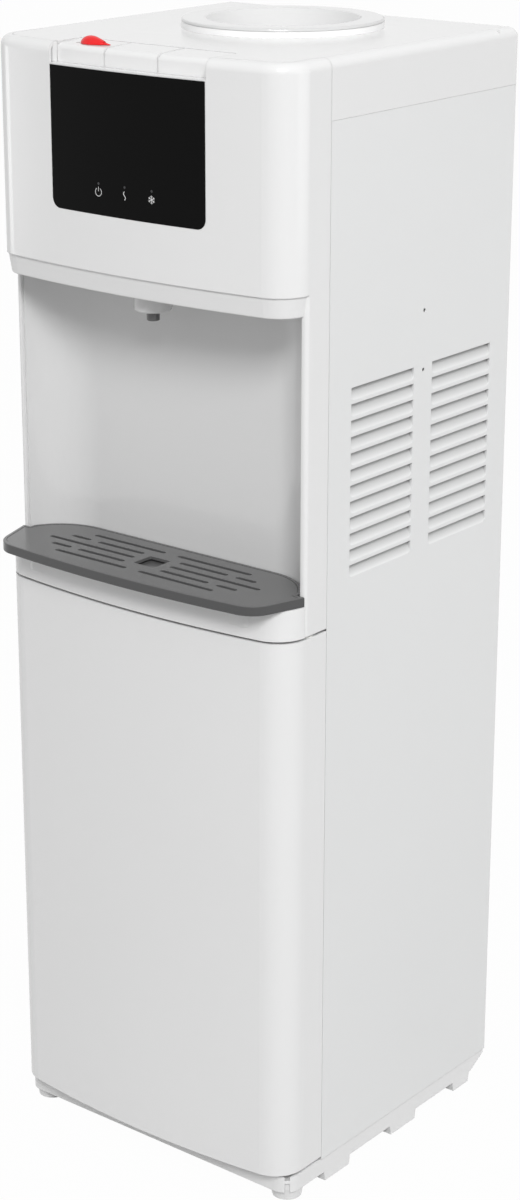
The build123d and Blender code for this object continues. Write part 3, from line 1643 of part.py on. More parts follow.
def door_bushes():
    # flanged plain bearings, pressed into the door's two bosses
    low, high = door_ends()
    bore, outer = hinge_pin_radius + pin_clearance, bush_radius()
    depth = hinge_pin_length + 1
    bushes = []
    for end, way in ((low, 1), (high, -1)):
        profile = [
            (bore, end - way * bush_proud), (outer + 2.6, end - way * bush_proud),
            (outer + 2.6, end), (outer, end), (outer, end + way * depth), (bore, end + way * depth),
        ]
        bushes.append(turned(profile, hinge_x, -hinge_front))
    return Compound(bushes)


def hinge_bracket(low, pin_up):
    # steel angle screwed to the side panel's front flange, with its hinge pin
    high = low + hinge_plate
    side = half_width - wall - seam
    plate = block((side - 13, side), (-hinge_front - 6, frame_setback), (low, high))
    front = [e for e in plate.edges().filter_by(Axis.Z) if e.center().Y < -hinge_front]
    plate = fillet(front, 5.0)
    plate += block(
        (side - 11, side), (frame_setback - hinge_plate, frame_setback), (low, low + 17)
    )
    if pin_up:
        pin = (high - 0.1, high + hinge_pin_length)
    else:
        pin = (low - hinge_pin_length, low + 0.1)
    bracket = plate + post(hinge_x, -hinge_front, pin, hinge_pin_radius)
    tips = [e for e in bracket.edges().filter_by(GeomType.CIRCLE)
            if abs(e.center().Z - (pin[1] if pin_up else pin[0])) < 0.01]
    return chamfer(tips, 0.6)


# ---------------------------------------------------------------- write the pieces

os.makedirs("parts", exist_ok=True)

right_panel = side_panel()
pieces = {
    "base_pan": base_pan(),
    "side_panel_right": right_panel,
    "side_panel_left": mirror(right_panel, Plane.YZ),
    "back_panel": back_panel(),
    "rear_screws": rear_screws(),
    "cord_gland": cord_gland(),
    "storage_liner": storage_liner(),
    "storage_shelf": storage_shelf(),
    "front_fascia": front_fascia(),
    "control_panel": control_panel(),
    "indicator_lights": indicator_lights(),
    "control_board": control_board(),
    "niche_liner": niche_liner(),
    "tray_deck": tray_deck(),
    "drip_tray": drip_tray(),
    "drip_grille": drip_grille(),
    "top_cover": top_cover(),
    "bottle_seat": bottle_seat(),
    "feed_probe": feed_probe(),
    "child_lock": child_lock(),
    "button_carrier": button_carrier(),
    "switch_board": switch_board(),
    "outlet_nozzle": outlet_nozzle(),
    "valve_manifold": valve_manifold(),
    "solenoid_valves": Compound([valve(index) for index in range(3)]),
    "cold_tank": cold_tank(),
    "cold_tank_foam": cold_tank_foam(),
    "evaporator_coil": evaporator_coil(),
    "hot_tank": hot_tank(),
    "hot_tank_jacket": hot_tank_jacket(),
    "heater_band": heater_band(),
    "tank_frame": tank_frame(),
    "cold_hose": cold_hose(),
    "room_hose": room_hose(),
    "hot_hose": hot_hose(),
    "drain_hose": drain_hose(),
    "drain_spigot": drain_spigot(),
    "drain_cap": drain_cap(),
    "compressor": compressor(),
    "compressor_grommets": compressor_grommets(),
    "terminal_cover": terminal_cover(),
    "condenser": condenser(),
    "condenser_clips": condenser_clips(),
    "filter_drier": filter_drier(),
    "refrigerant_pipes": refrigerant_pipes(),
    "switch_housing": switch_housing(),
    "heat_rocker": rocker(0),
    "cool_rocker": rocker(1),
    "door_outer": door_outer(),
    "door_liner": door_liner(),
    "door_bushes": door_bushes(),
    "door_magnet": door_magnet(),
    "bottom_hinge_bracket": hinge_bracket(panel_foot, True),
    "top_hinge_bracket": hinge_bracket(deck_line + 0.2, False),
}
for index, name in enumerate(("hot", "room", "cold")):
    pieces[f"{name}_button"] = button(index)
    pieces[f"{name}_button_spring"] = button_spring(index)

for name, shape in pieces.items():
    save(name, shape)
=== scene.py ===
import bpy
import bmesh
import json
import math
from mathutils import Matrix, Vector


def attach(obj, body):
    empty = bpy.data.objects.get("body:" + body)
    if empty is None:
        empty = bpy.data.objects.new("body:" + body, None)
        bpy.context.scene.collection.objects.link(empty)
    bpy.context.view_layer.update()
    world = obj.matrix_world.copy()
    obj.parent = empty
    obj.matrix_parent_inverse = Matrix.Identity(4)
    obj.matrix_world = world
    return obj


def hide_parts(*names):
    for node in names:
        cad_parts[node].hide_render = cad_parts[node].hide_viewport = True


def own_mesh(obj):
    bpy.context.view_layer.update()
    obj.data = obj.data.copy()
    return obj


# Floor-standing water cooler with a bottle seat on top, a dispensing recess and a storage
# cabinet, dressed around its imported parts. Metres, Z up, front towards -Y.

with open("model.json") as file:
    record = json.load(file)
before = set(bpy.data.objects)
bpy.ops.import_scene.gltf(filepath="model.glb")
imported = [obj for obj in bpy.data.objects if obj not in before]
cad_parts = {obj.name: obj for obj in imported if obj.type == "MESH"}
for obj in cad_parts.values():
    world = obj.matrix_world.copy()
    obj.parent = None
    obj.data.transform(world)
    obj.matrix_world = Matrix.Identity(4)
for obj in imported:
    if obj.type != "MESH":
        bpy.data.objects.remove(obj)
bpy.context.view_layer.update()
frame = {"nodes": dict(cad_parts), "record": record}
nodes = frame["nodes"]
mm = 0.001
print("parts loaded:", len(nodes))

# ---- camera

cameraLook = {
    "place": (1.3493, -1.6745, 1.2370),
    "turn": 38.84,                   # degrees from +Y towards -X
    "dip": 19.11,                    # degrees below the horizon
    "roll": -0.04,
    "lens": 77.8,                    # millimetres on the long side of the sensor
    "sensor": 36.0,
    "frame": (520, 1200),            # pixels
    "axisPixel": (246.0, 594.6),     # where the lens axis meets the picture
}


def makeCamera(look):
    data = bpy.data.cameras.new("camera")
    data.sensor_width = look["sensor"]
    data.lens = look["lens"]
    wide, high = look["frame"]
    data.shift_x = (wide / 2 - look["axisPixel"][0]) / high
    data.shift_y = (look["axisPixel"][1] - high / 2) / high
    camera = bpy.data.objects.new("camera", data)
    bpy.context.scene.collection.objects.link(camera)
    camera.matrix_world = (
        Matrix.Translation(look["place"])
        @ Matrix.Rotation(math.radians(look["turn"]), 4, "Z")
        @ Matrix.Rotation(math.radians(90 - look["dip"]), 4, "X")
        @ Matrix.Rotation(math.radians(look["roll"]), 4, "Z")
    )
    bpy.context.scene.camera = camera


makeCamera(cameraLook)
print("camera placed")

# ---- shader maths


class Wire:
    # a socket that can stand in a sum
    def __init__(self, recipe, socket):
        self.recipe = recipe
        self.socket = socket

    def join(self, operation, first, second):
        return self.recipe.node("ShaderNodeMath", {"operation": operation}, {0: first, 1: second})

    def __add__(self, other):
        return self.join("ADD", self, other)

    def __radd__(self, other):
        return self.join("ADD", other, self)

    def __sub__(self, other):
        return self.join("SUBTRACT", self, other)

    def __rsub__(self, other):
        return self.join("SUBTRACT", other, self)

    def __mul__(self, other):
        return self.join("MULTIPLY", self, other)

    def __rmul__(self, other):
        return self.join("MULTIPLY", other, self)

    def above(self, other):
        return self.join("MAXIMUM", self, other)


class Recipe:
    # the node tree of one material or world
    def __init__(self, tree):
        self.tree = tree
        tree.nodes.clear()

    def node(self, kind, settings=None, sockets=None, out=0):
        # a socket takes a number, a vector, a colour or a Wire
        made = self.tree.nodes.new(kind)
        for name, value in (settings or {}).items():
            setattr(made, name, value)
        for key, value in (sockets or {}).items():
            target = made.inputs[key]
            if isinstance(value, Wire):
                self.tree.links.new(value.socket, target)
            elif target.type == "RGBA":
                target.default_value = (*value, 1.0)
            else:
                target.default_value = value
        return Wire(self, made.outputs[out]) if made.outputs else None

    def vector(self, operation, first, second=None, out=0):
        sockets = {0: first} if second is None else {0: first, 1: second}
        return self.node("ShaderNodeVectorMath", {"operation": operation}, sockets, out)

    def place(self, stretch=None):
        # the point on the object, in metres
        spot = self.node("ShaderNodeTexCoord", out="Object")
        return self.vector("MULTIPLY", spot, stretch) if stretch else spot

    def along(self, axis, vector):
        return self.node("ShaderNodeSeparateXYZ", {}, {0: vector}, out=axis)

    def upward(self):
        # 1 on a surface that faces straight up, 0 on an upright one
        return self.along("Z", self.node("ShaderNodeNewGeometry", out="Normal"))

    def noise(self, scale, detail=2.0, rough=0.5, stretch=None):
        return self.node(
            "ShaderNodeTexNoise", {},
            {"Vector": self.place(stretch), "Scale": scale, "Detail": detail, "Roughness": rough},
        )

    def cells(self, scale, feature="F1"):
        sockets = {"Vector": self.place(), "Scale": scale}
        return self.node("ShaderNodeTexVoronoi", {"feature": feature}, sockets)

    def fade(self, value, low, high):
        # 0 below low, 1 above high
        return self.node(
            "ShaderNodeMapRange", {"clamp": True},
            {"Value": value, "From Min": low, "From Max": high, "To Min": 0.0, "To Max": 1.0},
        )

    def blend(self, factor, first, second):
        # a colour: first where factor is 0, second where it is 1
        sockets = {0: factor, 6: first, 7: second}
        return self.node("ShaderNodeMix", {"data_type": "RGBA"}, sockets, out=2)

    def bump(self, height, strength, distance, normal=None):
        sockets = {"Height": height, "Strength": strength, "Distance": distance}
        if normal is not None:
            sockets["Normal"] = normal
        return self.node("ShaderNodeBump", {}, sockets)

    def softEdge(self, radius):
        return self.node("ShaderNodeBevel", {"samples": 4}, {"Radius": radius})


def newMaterial(name):
    material = bpy.data.materials.new(name)
    material.use_nodes = True
    return material, Recipe(material.node_tree)


def closeMaterial(recipe, sockets):
    shader = recipe.node("ShaderNodeBsdfPrincipled", {}, sockets)
    recipe.node("ShaderNodeOutputMaterial", {}, {"Surface": shader})


def shade(colour, factor):
    return tuple(min(1.0, c * factor) for c in colour)


# ---- floor, backdrop and lights

stageLook = {
    "floorHalf": 30.0,
    "floorColour": (0.45, 0.45, 0.45),
    "whiteShare": 0.98,      # share of plain white that the camera sees in the floor
    "skyLight": 0.51,
    "lamps": (
        # name, place, aim, width, height, watts
        ("keyLamp", (4.08, -4.38, 5.28), (0.0, 0.0, 0.40), 2.2, 2.2, 370.0),
        ("leftLamp", (-3.20, -1.30, 0.45), (0.0, 0.0, 0.2), 1.2, 0.7, 9.0),
        ("backLamp", (3.24, 1.31, 0.75), (0.0, 0.0, 0.3), 2.6, 1.3, 15.0),
    ),
}


def seenDirectly(recipe):
    # 1 for what the camera, gloss and glass see, 0 for light on the object
    camera, gloss, glass = (
        recipe.node("ShaderNodeLightPath", out=ray)
        for ray in ("Is Camera Ray", "Is Glossy Ray", "Is Transmission Ray")
    )
    return camera.above(gloss).above(glass)


def makeFloor(look):
    half = look["floorHalf"]
    mesh = bpy.data.meshes.new("floor")
    corners = [(-half, -half, 0), (half, -half, 0), (half, half, 0), (-half, half, 0)]
    mesh.from_pydata(corners, [], [(0, 1, 2, 3)])
    floor = bpy.data.objects.new("floor", mesh)
    bpy.context.scene.collection.objects.link(floor)
    material, r = newMaterial("floorPaper")
    lit = r.node("ShaderNodeBsdfDiffuse", {}, {"Color": look["floorColour"]})
    white = r.node("ShaderNodeEmission", {}, {"Color": (1.0, 1.0, 1.0), "Strength": 1.0})
    factor = seenDirectly(r) * look["whiteShare"]
    mixed = r.node("ShaderNodeMixShader", {}, {0: factor, 1: lit, 2: white})
    r.node("ShaderNodeOutputMaterial", {}, {"Surface": mixed})
    mesh.materials.append(material)


def makeSky(look):
    world = bpy.data.worlds.new("studio")
    world.use_nodes = True
    bpy.context.scene.world = world
    w = Recipe(world.node_tree)
    strength = look["skyLight"] + (1.0 - look["skyLight"]) * seenDirectly(w)
    sky = w.node("ShaderNodeBackground", {}, {"Color": (1.0, 1.0, 1.0), "Strength": strength})
    w.node("ShaderNodeOutputWorld", {}, {"Surface": sky})


def makeLamps(look):
    for name, place, aim, wide, high, watts in look["lamps"]:
        data = bpy.data.lights.new(name, "AREA")
        data.shape = "RECTANGLE"
        data.size, data.size_y = wide, high
        data.energy = watts
        lamp = bpy.data.objects.new(name, data)
        bpy.context.scene.collection.objects.link(lamp)
        lamp.location = place
        lamp.rotation_euler = (Vector(place) - Vector(aim)).to_track_quat("Z", "Y").to_euler()


makeFloor(stageLook)
makeSky(stageLook)
makeLamps(stageLook)
bpy.context.scene.view_settings.view_transform = "Standard"
print("stage and lights ready")

# ---- finishes

mouldingLook = {
    "whiteMoulding": {
        "colour": (0.80, 0.80, 0.80), "rough": 0.18, "peel": 0.05, "grain": 420.0, "edge": 0.5 * mm,
    },
    "headWhite": {
        "colour": (0.80, 0.80, 0.80), "rough": 0.18, "peel": 0.05, "grain": 420.0, "edge": 1.4 * mm,
    },
    "keyWhite": {
        "colour": (0.82, 0.82, 0.82), "rough": 0.20, "peel": 0.04, "grain": 700.0, "edge": 0.4 * mm,
    },
    # greyer than the white mouldings: partly the liner's own tone, partly painted shade for the recess
    "recessGreyAndShade": {
        "colour": (0.69, 0.69, 0.69), "rough": 0.13, "peel": 0.04, "grain": 500.0, "edge": 0.4 * mm,
    },
    "panelBlack": {
        "colour": (0.004, 0.004, 0.004), "rough": 0.08, "peel": 0.02, "grain": 200.0, "edge": 0.3 * mm,
        "specular": 0.05,
    },
    "trayGrey": {
        "colour": (0.122, 0.122, 0.123), "rough": 0.18, "peel": 0.05, "grain": 900.0, "edge": 0.4 * mm,
    },
    "lockRed": {
        "colour": (0.80, 0.003, 0.006), "rough": 0.14, "peel": 0.02, "grain": 600.0, "edge": 0.3 * mm,
    },
    "rockerRed": {
        "colour": (0.50, 0.02, 0.02), "rough": 0.20, "peel": 0.03, "grain": 900.0, "edge": 0.3 * mm,
    },
    "rockerGreen": {
        "colour": (0.02, 0.28, 0.08), "rough": 0.20, "peel": 0.03, "grain": 900.0, "edge": 0.3 * mm,
    },
    "acetal": {
        "colour": (0.76, 0.76, 0.73), "rough": 0.36, "peel": 0.04, "grain": 1200.0, "edge": 0.2 * mm,
    },
    "blackPlastic": {
        "colour": (0.022, 0.022, 0.024), "rough": 0.42, "peel": 0.12, "grain": 1800.0, "edge": 0.3 * mm,
    },
}

# what all mouldings share
mouldingSurface = {
    "tone": 3.0,             # scale of the slow change in colour
    "spread": 0.008,         # lighter and darker by this share
    "handled": 26.0,         # scale of the patches dulled by hands
    "haze": 190.0,           # scale of the fine change in gloss
    "dull": 0.02,            # how much rougher both make it
    "wave": 38.0,            # scale of the wave left by the tool
    "waveShare": 0.7,
    "depth": 0.6 * mm,
    "index": 1.49,
    "specular": 0.5,
}


def moulding(name, look):
    # injection moulding: a faint wave left by the tool, fine grain and uneven gloss
    shared = mouldingSurface
    material, r = newMaterial(name)
    tone = r.fade(r.noise(shared["tone"], detail=3.0), low=0.35, high=0.65)
    darker, lighter = (shade(look["colour"], 1.0 + sign * shared["spread"]) for sign in (-1, 1))
    handled = r.fade(r.noise(shared["handled"], detail=5.0, rough=0.6), low=0.52, high=0.75)
    haze = r.noise(shared["haze"], detail=3.0)
    wave = r.noise(shared["wave"], detail=1.0) * shared["waveShare"]
    grain = r.noise(look["grain"]) * (1.0 - shared["waveShare"])
    closeMaterial(r, {
        "Base Color": r.blend(tone, darker, lighter),
        "Roughness": look["rough"] + shared["dull"] * handled + shared["dull"] * haze,
        "Normal": r.bump(wave + grain, look["peel"], shared["depth"], r.softEdge(look["edge"])),
        "IOR": shared["index"],
        "Specular IOR Level": look.get("specular", shared["specular"]),
    })
    return material


seatLook = {
    "funnel": (0.74, 0.74, 0.74),
    "ring": (0.66, 0.66, 0.66),        # side of the collar above its groove
    "band": (0.93, 0.93, 0.93),        # and below it
    "groove": 983.1 * mm,              # height of the groove
    "grooveHalf": 0.2 * mm,
    "middle": (0.0, 50.9 * mm, 0.0),
    "collar": (83.0 * mm, 83.6 * mm),  # the collar's side lies outside this radius
    "rough": 0.10,
    "haze": 160.0,
    "dull": 0.03,
    "wave": 60.0,
    "peel": 0.03,
    "depth": 0.4 * mm,
    "edge": 0.5 * mm,
    "index": 1.5,
}


def seatMoulding(name, look):
    # polished collar and funnel; the band under the groove is a brighter white
    material, r = newMaterial(name)
    height = r.along("Z", r.place())
    above = r.fade(height, look["groove"] - look["grooveHalf"], look["groove"] + look["grooveHalf"])
    flat = r.vector("MULTIPLY", r.vector("SUBTRACT", r.place(), look["middle"]), (1.0, 1.0, 0.0))
    collar = r.fade(r.vector("LENGTH", flat, out="Value"), *look["collar"])
    side = r.blend(1.0 - above, look["ring"], look["band"])
    wave = r.noise(look["wave"], detail=1.0)
    closeMaterial(r, {
        "Base Color": r.blend(collar, look["funnel"], side),
        "Roughness": look["rough"] + look["dull"] * r.noise(look["haze"]),
        "Normal": r.bump(wave, look["peel"], look["depth"], r.softEdge(look["edge"])),
        "IOR": look["index"],
    })
    return material


basinLook = {
    "rim": (0.122, 0.122, 0.123),
    # a darker copy of the rim's grey for faces that turn sideways, as painted shade
    "side": (0.064, 0.064, 0.065),
    # painted shade on the basin's floor under the grille
    "floor": (0.016, 0.016, 0.017),
    "water": 548.0 * mm,               # below this, what faces up is the basin's floor
    "waterFade": 0.5 * mm,
    "rough": 0.18,
    "haze": 190.0,
    "dull": 0.03,
    "grain": 900.0,
    "peel": 0.05,
    "depth": 0.6 * mm,
    "edge": 0.4 * mm,
    "index": 1.49,
}


def basinMoulding(name, look):
    # drip tray: painted shade, a darker grey on the faces that turn sideways and a near black floor
    # under the grille
    material, r = newMaterial(name)
    upward = r.fade(r.upward(), low=0.4, high=0.8)
    height = r.along("Z", r.place())
    # painted shade on what faces up below the grille
    low = 1.0 - r.fade(height, look["water"], look["water"] + look["waterFade"])
    # painted shade on the faces that turn sideways
    colour = r.blend(upward, look["side"], look["rim"])
    normal = r.bump(r.noise(look["grain"]), look["peel"], look["depth"], r.softEdge(look["edge"]))
    closeMaterial(r, {
        "Base Color": r.blend(low * upward, colour, look["floor"]),
        "Roughness": look["rough"] + look["dull"] * r.noise(look["haze"], detail=3.0),
        "Normal": normal,
        "IOR": look["index"],
    })
    return material


steelLook = {
    "colour": (0.785, 0.79, 0.79),
    "tone": 2.2,
    "spread": 0.01,
    "rough": 0.33,
    "patch": 14.0,
    "patchDull": 0.06,
    "peel": 0.10,            # strength of the powder coat's orange peel
    "peelScale": 520.0,
    "peelFiner": 1.7,
    "peelGloss": 0.04,
    "depth": 0.15 * mm,
    "edge": 0.4 * mm,
    "skin": 154.7 * mm,      # the sides' outer faces stand just outside this
    "pocket": 2.6 * mm,      # depth over which the painted shade in the louvres deepens
    # share of the colour left deepest in the louvres, as painted shade
    "louvreShade": 0.62,
    "index": 1.5,
}


def powderCoat(name, look):
    # baked powder on sheet steel: orange peel, more gloss on the high spots, painted shade deeper in
    # the louvres
    material, r = newMaterial(name)
    coarse = r.cells(look["peelScale"], "SMOOTH_F1")
    peel = coarse * 0.5 + r.noise(look["peelScale"] * look["peelFiner"]) * 0.5
    tone = r.fade(r.noise(look["tone"], detail=3.0), low=0.3, high=0.7)
    darker, lighter = (shade(look["colour"], 1.0 + sign * look["spread"]) for sign in (-1, 1))
    across = r.along("X", r.place())
    outward = r.node("ShaderNodeMath", {"operation": "ABSOLUTE"}, {0: across})
    # painted shade: the colour darkens deeper inside the panel, where the louvres lie in shade
    unshaded = r.fade(outward, look["skin"] - look["pocket"], look["skin"])
    colour = r.blend(unshaded, shade(look["colour"], look["louvreShade"]), r.blend(tone, darker, lighter))
    patch = r.noise(look["patch"], detail=4.0)
    closeMaterial(r, {
        "Base Color": colour,
        "Roughness": look["rough"] + look["patchDull"] * patch - look["peelGloss"] * peel,
        "Normal": r.bump(peel, look["peel"], look["depth"], r.softEdge(look["edge"])),
        "IOR": look["index"],
    })
    return material


metalLook = {
    "stainless": {
        "colour": (0.60, 0.595, 0.58), "rough": 0.24, "lines": 900.0, "stretch": (1.0, 1.0, 0.02),
    },
    "zincSteel": {"colour": (0.58, 0.59, 0.60), "rough": 0.34, "lines": 240.0},
    "springSteel": {"colour": (0.46, 0.46, 0.45), "rough": 0.28, "lines": 2600.0},
    "copper": {"colour": (0.83, 0.42, 0.26), "rough": 0.26, "lines": 300.0},
}

# what all bare metals share
metalSurface = {
    "patch": 30.0,
    "tarnish": 0.72,         # how dark the patches are
    "patchDull": 0.10,
    "lineDull": 0.08,
    "peel": 0.10,
    "depth": 0.05 * mm,
}


def bareMetal(name, look):
    # rolled or drawn metal: fine lines, with dull and tarnished patches
    shared = metalSurface
    material, r = newMaterial(name)
    lines = r.noise(look["lines"], detail=3.0, rough=0.6, stretch=look.get("stretch"))
    patch = r.fade(r.noise(shared["patch"], detail=4.0, rough=0.6), low=0.45, high=0.7)
    closeMaterial(r, {
        "Base Color": r.blend(patch, look["colour"], shade(look["colour"], shared["tarnish"])),
        "Metallic": 1.0,
        "Roughness": look["rough"] + shared["patchDull"] * patch + shared["lineDull"] * lines,
        "Normal": r.bump(lines, shared["peel"], shared["depth"]),
    })
    return material


enamelLook = {
    "colour": (0.012, 0.012, 0.013),
    "dust": (0.24, 0.23, 0.21),
    "dustScale": 60.0,
    "dustShare": 0.35,
    "dustDull": 0.4,
    "rough": 0.24,
    "peelScale": 260.0,
    "peel": 0.12,
    "depth": 0.3 * mm,
}


def blackEnamel(name, look):
    # thick dipped enamel, a little dusty where it faces up
    material, r = newMaterial(name)
    flecks = r.fade(r.noise(look["dustScale"], detail=5.0, rough=0.65), low=0.35, high=0.75)
    dust = r.fade(r.upward(), low=0.35, high=1.0) * flecks * look["dustShare"]
    closeMaterial(r, {
        "Base Color": r.blend(dust, look["colour"], look["dust"]),
        "Roughness": look["rough"] + look["dustDull"] * dust,
        "Normal": r.bump(r.noise(look["peelScale"]), look["peel"], look["depth"]),
    })
    return material


foamLook = {
    "colour": (0.82, 0.82, 0.80),
    "bead": 260.0,
    "rim": (0.30, 0.62),     # where a bead's dark rim starts and ends
    "rimShade": 0.80,
    "rimDull": 0.1,
    "rough": 0.75,
    "peel": 0.45,
    "depth": 0.8 * mm,
}


def beadFoam(name, look):
    # expanded polystyrene: fused beads with dark seams between them
    material, r = newMaterial(name)
    bead = r.cells(look["bead"])
    rim = r.fade(bead, *look["rim"])
    closeMaterial(r, {
        "Base Color": r.blend(rim, look["colour"], shade(look["colour"], look["rimShade"])),
        "Roughness": look["rough"] + look["rimDull"] * rim,
        "Normal": r.bump(1.0 - bead, look["peel"], look["depth"]),
    })
    return material


rubberLook = {
    "blackRubber": {"colour": (0.020, 0.020, 0.020), "rough": 0.62, "grain": 1500.0},
    "hoseClear": {"colour": (0.72, 0.73, 0.71), "rough": 0.32, "grain": 500.0},
}

# what rubber and silicone share
rubberSurface = {
    "bloom": 70.0,
    "bloomShare": 0.6,
    "bloomShade": 1.25,
    "dull": 0.12,
    "peel": 0.12,
    "depth": 0.1 * mm,
}


def rubber(name, look):
    # rubber or silicone: soft grain and a dull bloom in patches
    shared = rubberSurface
    material, r = newMaterial(name)
    bloom = r.fade(r.noise(shared["bloom"], detail=4.0, rough=0.6), low=0.5, high=0.75)
    pale = shade(look["colour"], shared["bloomShade"])
    closeMaterial(r, {
        "Base Color": r.blend(bloom * shared["bloomShare"], look["colour"], pale),
        "Roughness": look["rough"] + shared["dull"] * bloom,
        "Normal": r.bump(r.noise(look["grain"], detail=3.0), shared["peel"], shared["depth"]),
    })
    return material


boardLook = {
    "mask": (0.012, 0.105, 0.040),
    "track": (0.035, 0.20, 0.085),
    "trackScale": 90.0,
    "trackWide": 0.012,
    "trackShift": 0.35,
    "pad": (0.62, 0.58, 0.45),
    "padScale": 330.0,
    "padEdge": (0.16, 0.20),
    "padShare": 0.8,
    "padGloss": 0.12,
    "rough": 0.32,
    "peel": 0.25,
    "depth": 0.1 * mm,
}


def printedBoard(name, look):
    # solder mask with lighter copper tracks under it and rows of tinned pads
    material, r = newMaterial(name)
    black, white = (0.0, 0.0, 0.0), (1.0, 1.0, 1.0)
    track = r.node("ShaderNodeTexBrick", {"offset": look["trackShift"]}, {
        "Vector": r.place(), "Scale": look["trackScale"], "Mortar Size": look["trackWide"],
        "Color1": black, "Color2": black, "Mortar": white,
    }, out="Fac")
    pads = 1.0 - r.fade(r.cells(look["padScale"]), *look["padEdge"])
    colour = r.blend(track, look["mask"], look["track"])
    closeMaterial(r, {
        "Base Color": r.blend(pads * look["padShare"], colour, look["pad"]),
        "Roughness": look["rough"] - look["padGloss"] * pads,
        "Normal": r.bump(track + pads, look["peel"], look["depth"]),
    })
    return material


lampLook = {
    "colour": (0.030, 0.031, 0.034),
    "frost": 2400.0,
    "frostShade": 0.8,
    "frostDull": 0.2,
    "rough": 0.22,
    "peel": 0.1,
    "depth": 0.05 * mm,
    "clear": 0.3,
    "index": 1.49,
}


def lightGuide(name, look):
    # smoked acrylic rod with a frosted end, dark while its lamp is off
    material, r = newMaterial(name)
    frost = r.noise(look["frost"])
    closeMaterial(r, {
        "Base Color": r.blend(frost, shade(look["colour"], look["frostShade"]), look["colour"]),
        "Roughness": look["rough"] + look["frostDull"] * frost,
        "Normal": r.bump(frost, look["peel"], look["depth"]),
        "Transmission Weight": look["clear"],
        "IOR": look["index"],
    })
    return material


finishes = {name: moulding(name, look) for name, look in mouldingLook.items()}
finishes["seatWhite"] = seatMoulding("seatWhite", seatLook)
finishes["basinGrey"] = basinMoulding("basinGrey", basinLook)
finishes["whiteSteel"] = powderCoat("whiteSteel", steelLook)
finishes.update({name: bareMetal(name, look) for name, look in metalLook.items()})
finishes["blackEnamel"] = blackEnamel("blackEnamel", enamelLook)
finishes["beadFoam"] = beadFoam("beadFoam", foamLook)
finishes.update({name: rubber(name, look) for name, look in rubberLook.items()})
finishes["printedBoard"] = printedBoard("printedBoard", boardLook)
finishes["lightGuide"] = lightGuide("lightGuide", lampLook)

# the finish of each of the record's slots
slotFinish = {
    "white_moulding": "whiteMoulding", "white_steel": "whiteSteel", "recess_grey": "recessGreyAndShade",
    "panel_black": "panelBlack", "tray_grey": "trayGrey", "key_white": "keyWhite",
    "lock_red": "lockRed", "lamp_clear": "lightGuide", "stainless": "stainless",
    "zinc_steel": "zincSteel", "copper": "copper", "black_steel": "blackEnamel",
    "foam_white": "beadFoam", "hose_clear": "hoseClear", "black_rubber": "blackRubber",
    "board_green": "printedBoard", "black_plastic": "blackPlastic", "rocker_red": "rockerRed",
    "rocker_green": "rockerGreen", "spring_steel": "springSteel", "acetal": "acetal",
}

# nodes with a finish of their own
nodeFinish = {"bottle_seat": "seatWhite", "drip_tray": "basinGrey", "front_fascia": "headWhite"}

for part in frame["record"]["subparts"]:
    node = part["node"]
    finish = nodeFinish.get(node) or slotFinish[part["material_slot"]]
    nodes[node].data.materials.clear()
    nodes[node].data.materials.append(finishes[finish])
print("finishes on", len(nodes), "parts")

# ---- small pieces, in millimetres


def ribbon(bed, points, wide, deep, surface):
    # flat stroke of even width on the panel's curve; points are (x, z)
    rings = []
    for i, (x, z) in enumerate(points):
        before, after = points[max(i - 1, 0)], points[min(i + 1, len(points) - 1)]
        along = Vector((after[0] - before[0], after[1] - before[1])).normalized()
        side = Vector((-along.y, along.x)) * wide / 2
        ring = []
        for sign, lift in ((1, deep), (-1, deep), (-1, -deep), (1, -deep)):
            px, pz = x + sign * side.x, z + sign * side.y
            ring.append(bed.verts.new((px * mm, (surface(px) - lift) * mm, pz * mm)))
        rings.append(ring)
    for one, two in zip(rings, rings[1:]):
        for k in range(4):
            bed.faces.new((one[k], one[(k + 1) % 4], two[(k + 1) % 4], two[k]))
    bed.faces.new(rings[0])
    bed.faces.new(rings[-1][::-1])


def prism(bed, low, high):
    # closed solid between two outlines of as many points
    count = len(low)
    for k in range(count):
        n = (k + 1) % count
        bed.faces.new((low[k], low[n], high[n], high[k]))
    bed.faces.new(low[::-1])
    bed.faces.new(high)


def finishPiece(name, bed, body, slotName):
    bmesh.ops.recalc_face_normals(bed, faces=bed.faces[:])
    mesh = bpy.data.meshes.new(name)
    bed.to_mesh(mesh)
    bed.free()
    mesh.materials.append(finishes[slotFinish[slotName]])
    piece = bpy.data.objects.new(name, mesh)
    bpy.context.scene.collection.objects.link(piece)
    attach(piece, body)
    return piece


symbolLook = {
    "places": (-27.8, 0.0, 27.8),    # under the three lamps
    "height": 865.0,
    "front": -151.0,                 # face of the panel in the middle
    "bow": 970.0,
    "stroke": 0.50,
    "lift": 0.03,
    "ring": 3.3,                     # power sign: radius,
    "gap": 32,                       # half of the ring's gap in degrees,
    "ringSteps": 28,
    "bar": (0.6, 4.2),               # and the bar's ends above the middle
    "wave": (1.0, 3.4),              # heat sign: swing and half height
    "waveSteps": 18,
    "waveStroke": 1.25,
    "star": 3.3,                     # frost sign: length of an arm,
    "fork": 0.55,                    # where along it the twigs start,
    "twig": 1.35,                    # their length,
    "lean": 48,                      # their lean in degrees
    "twigStroke": 0.8,
}


def arcPoints(x, z, radius, start, end, steps):
    turns = [math.radians(start + (end - start) * i / steps) for i in range(steps + 1)]
    return [(x + radius * math.sin(t), z + radius * math.cos(t)) for t in turns]


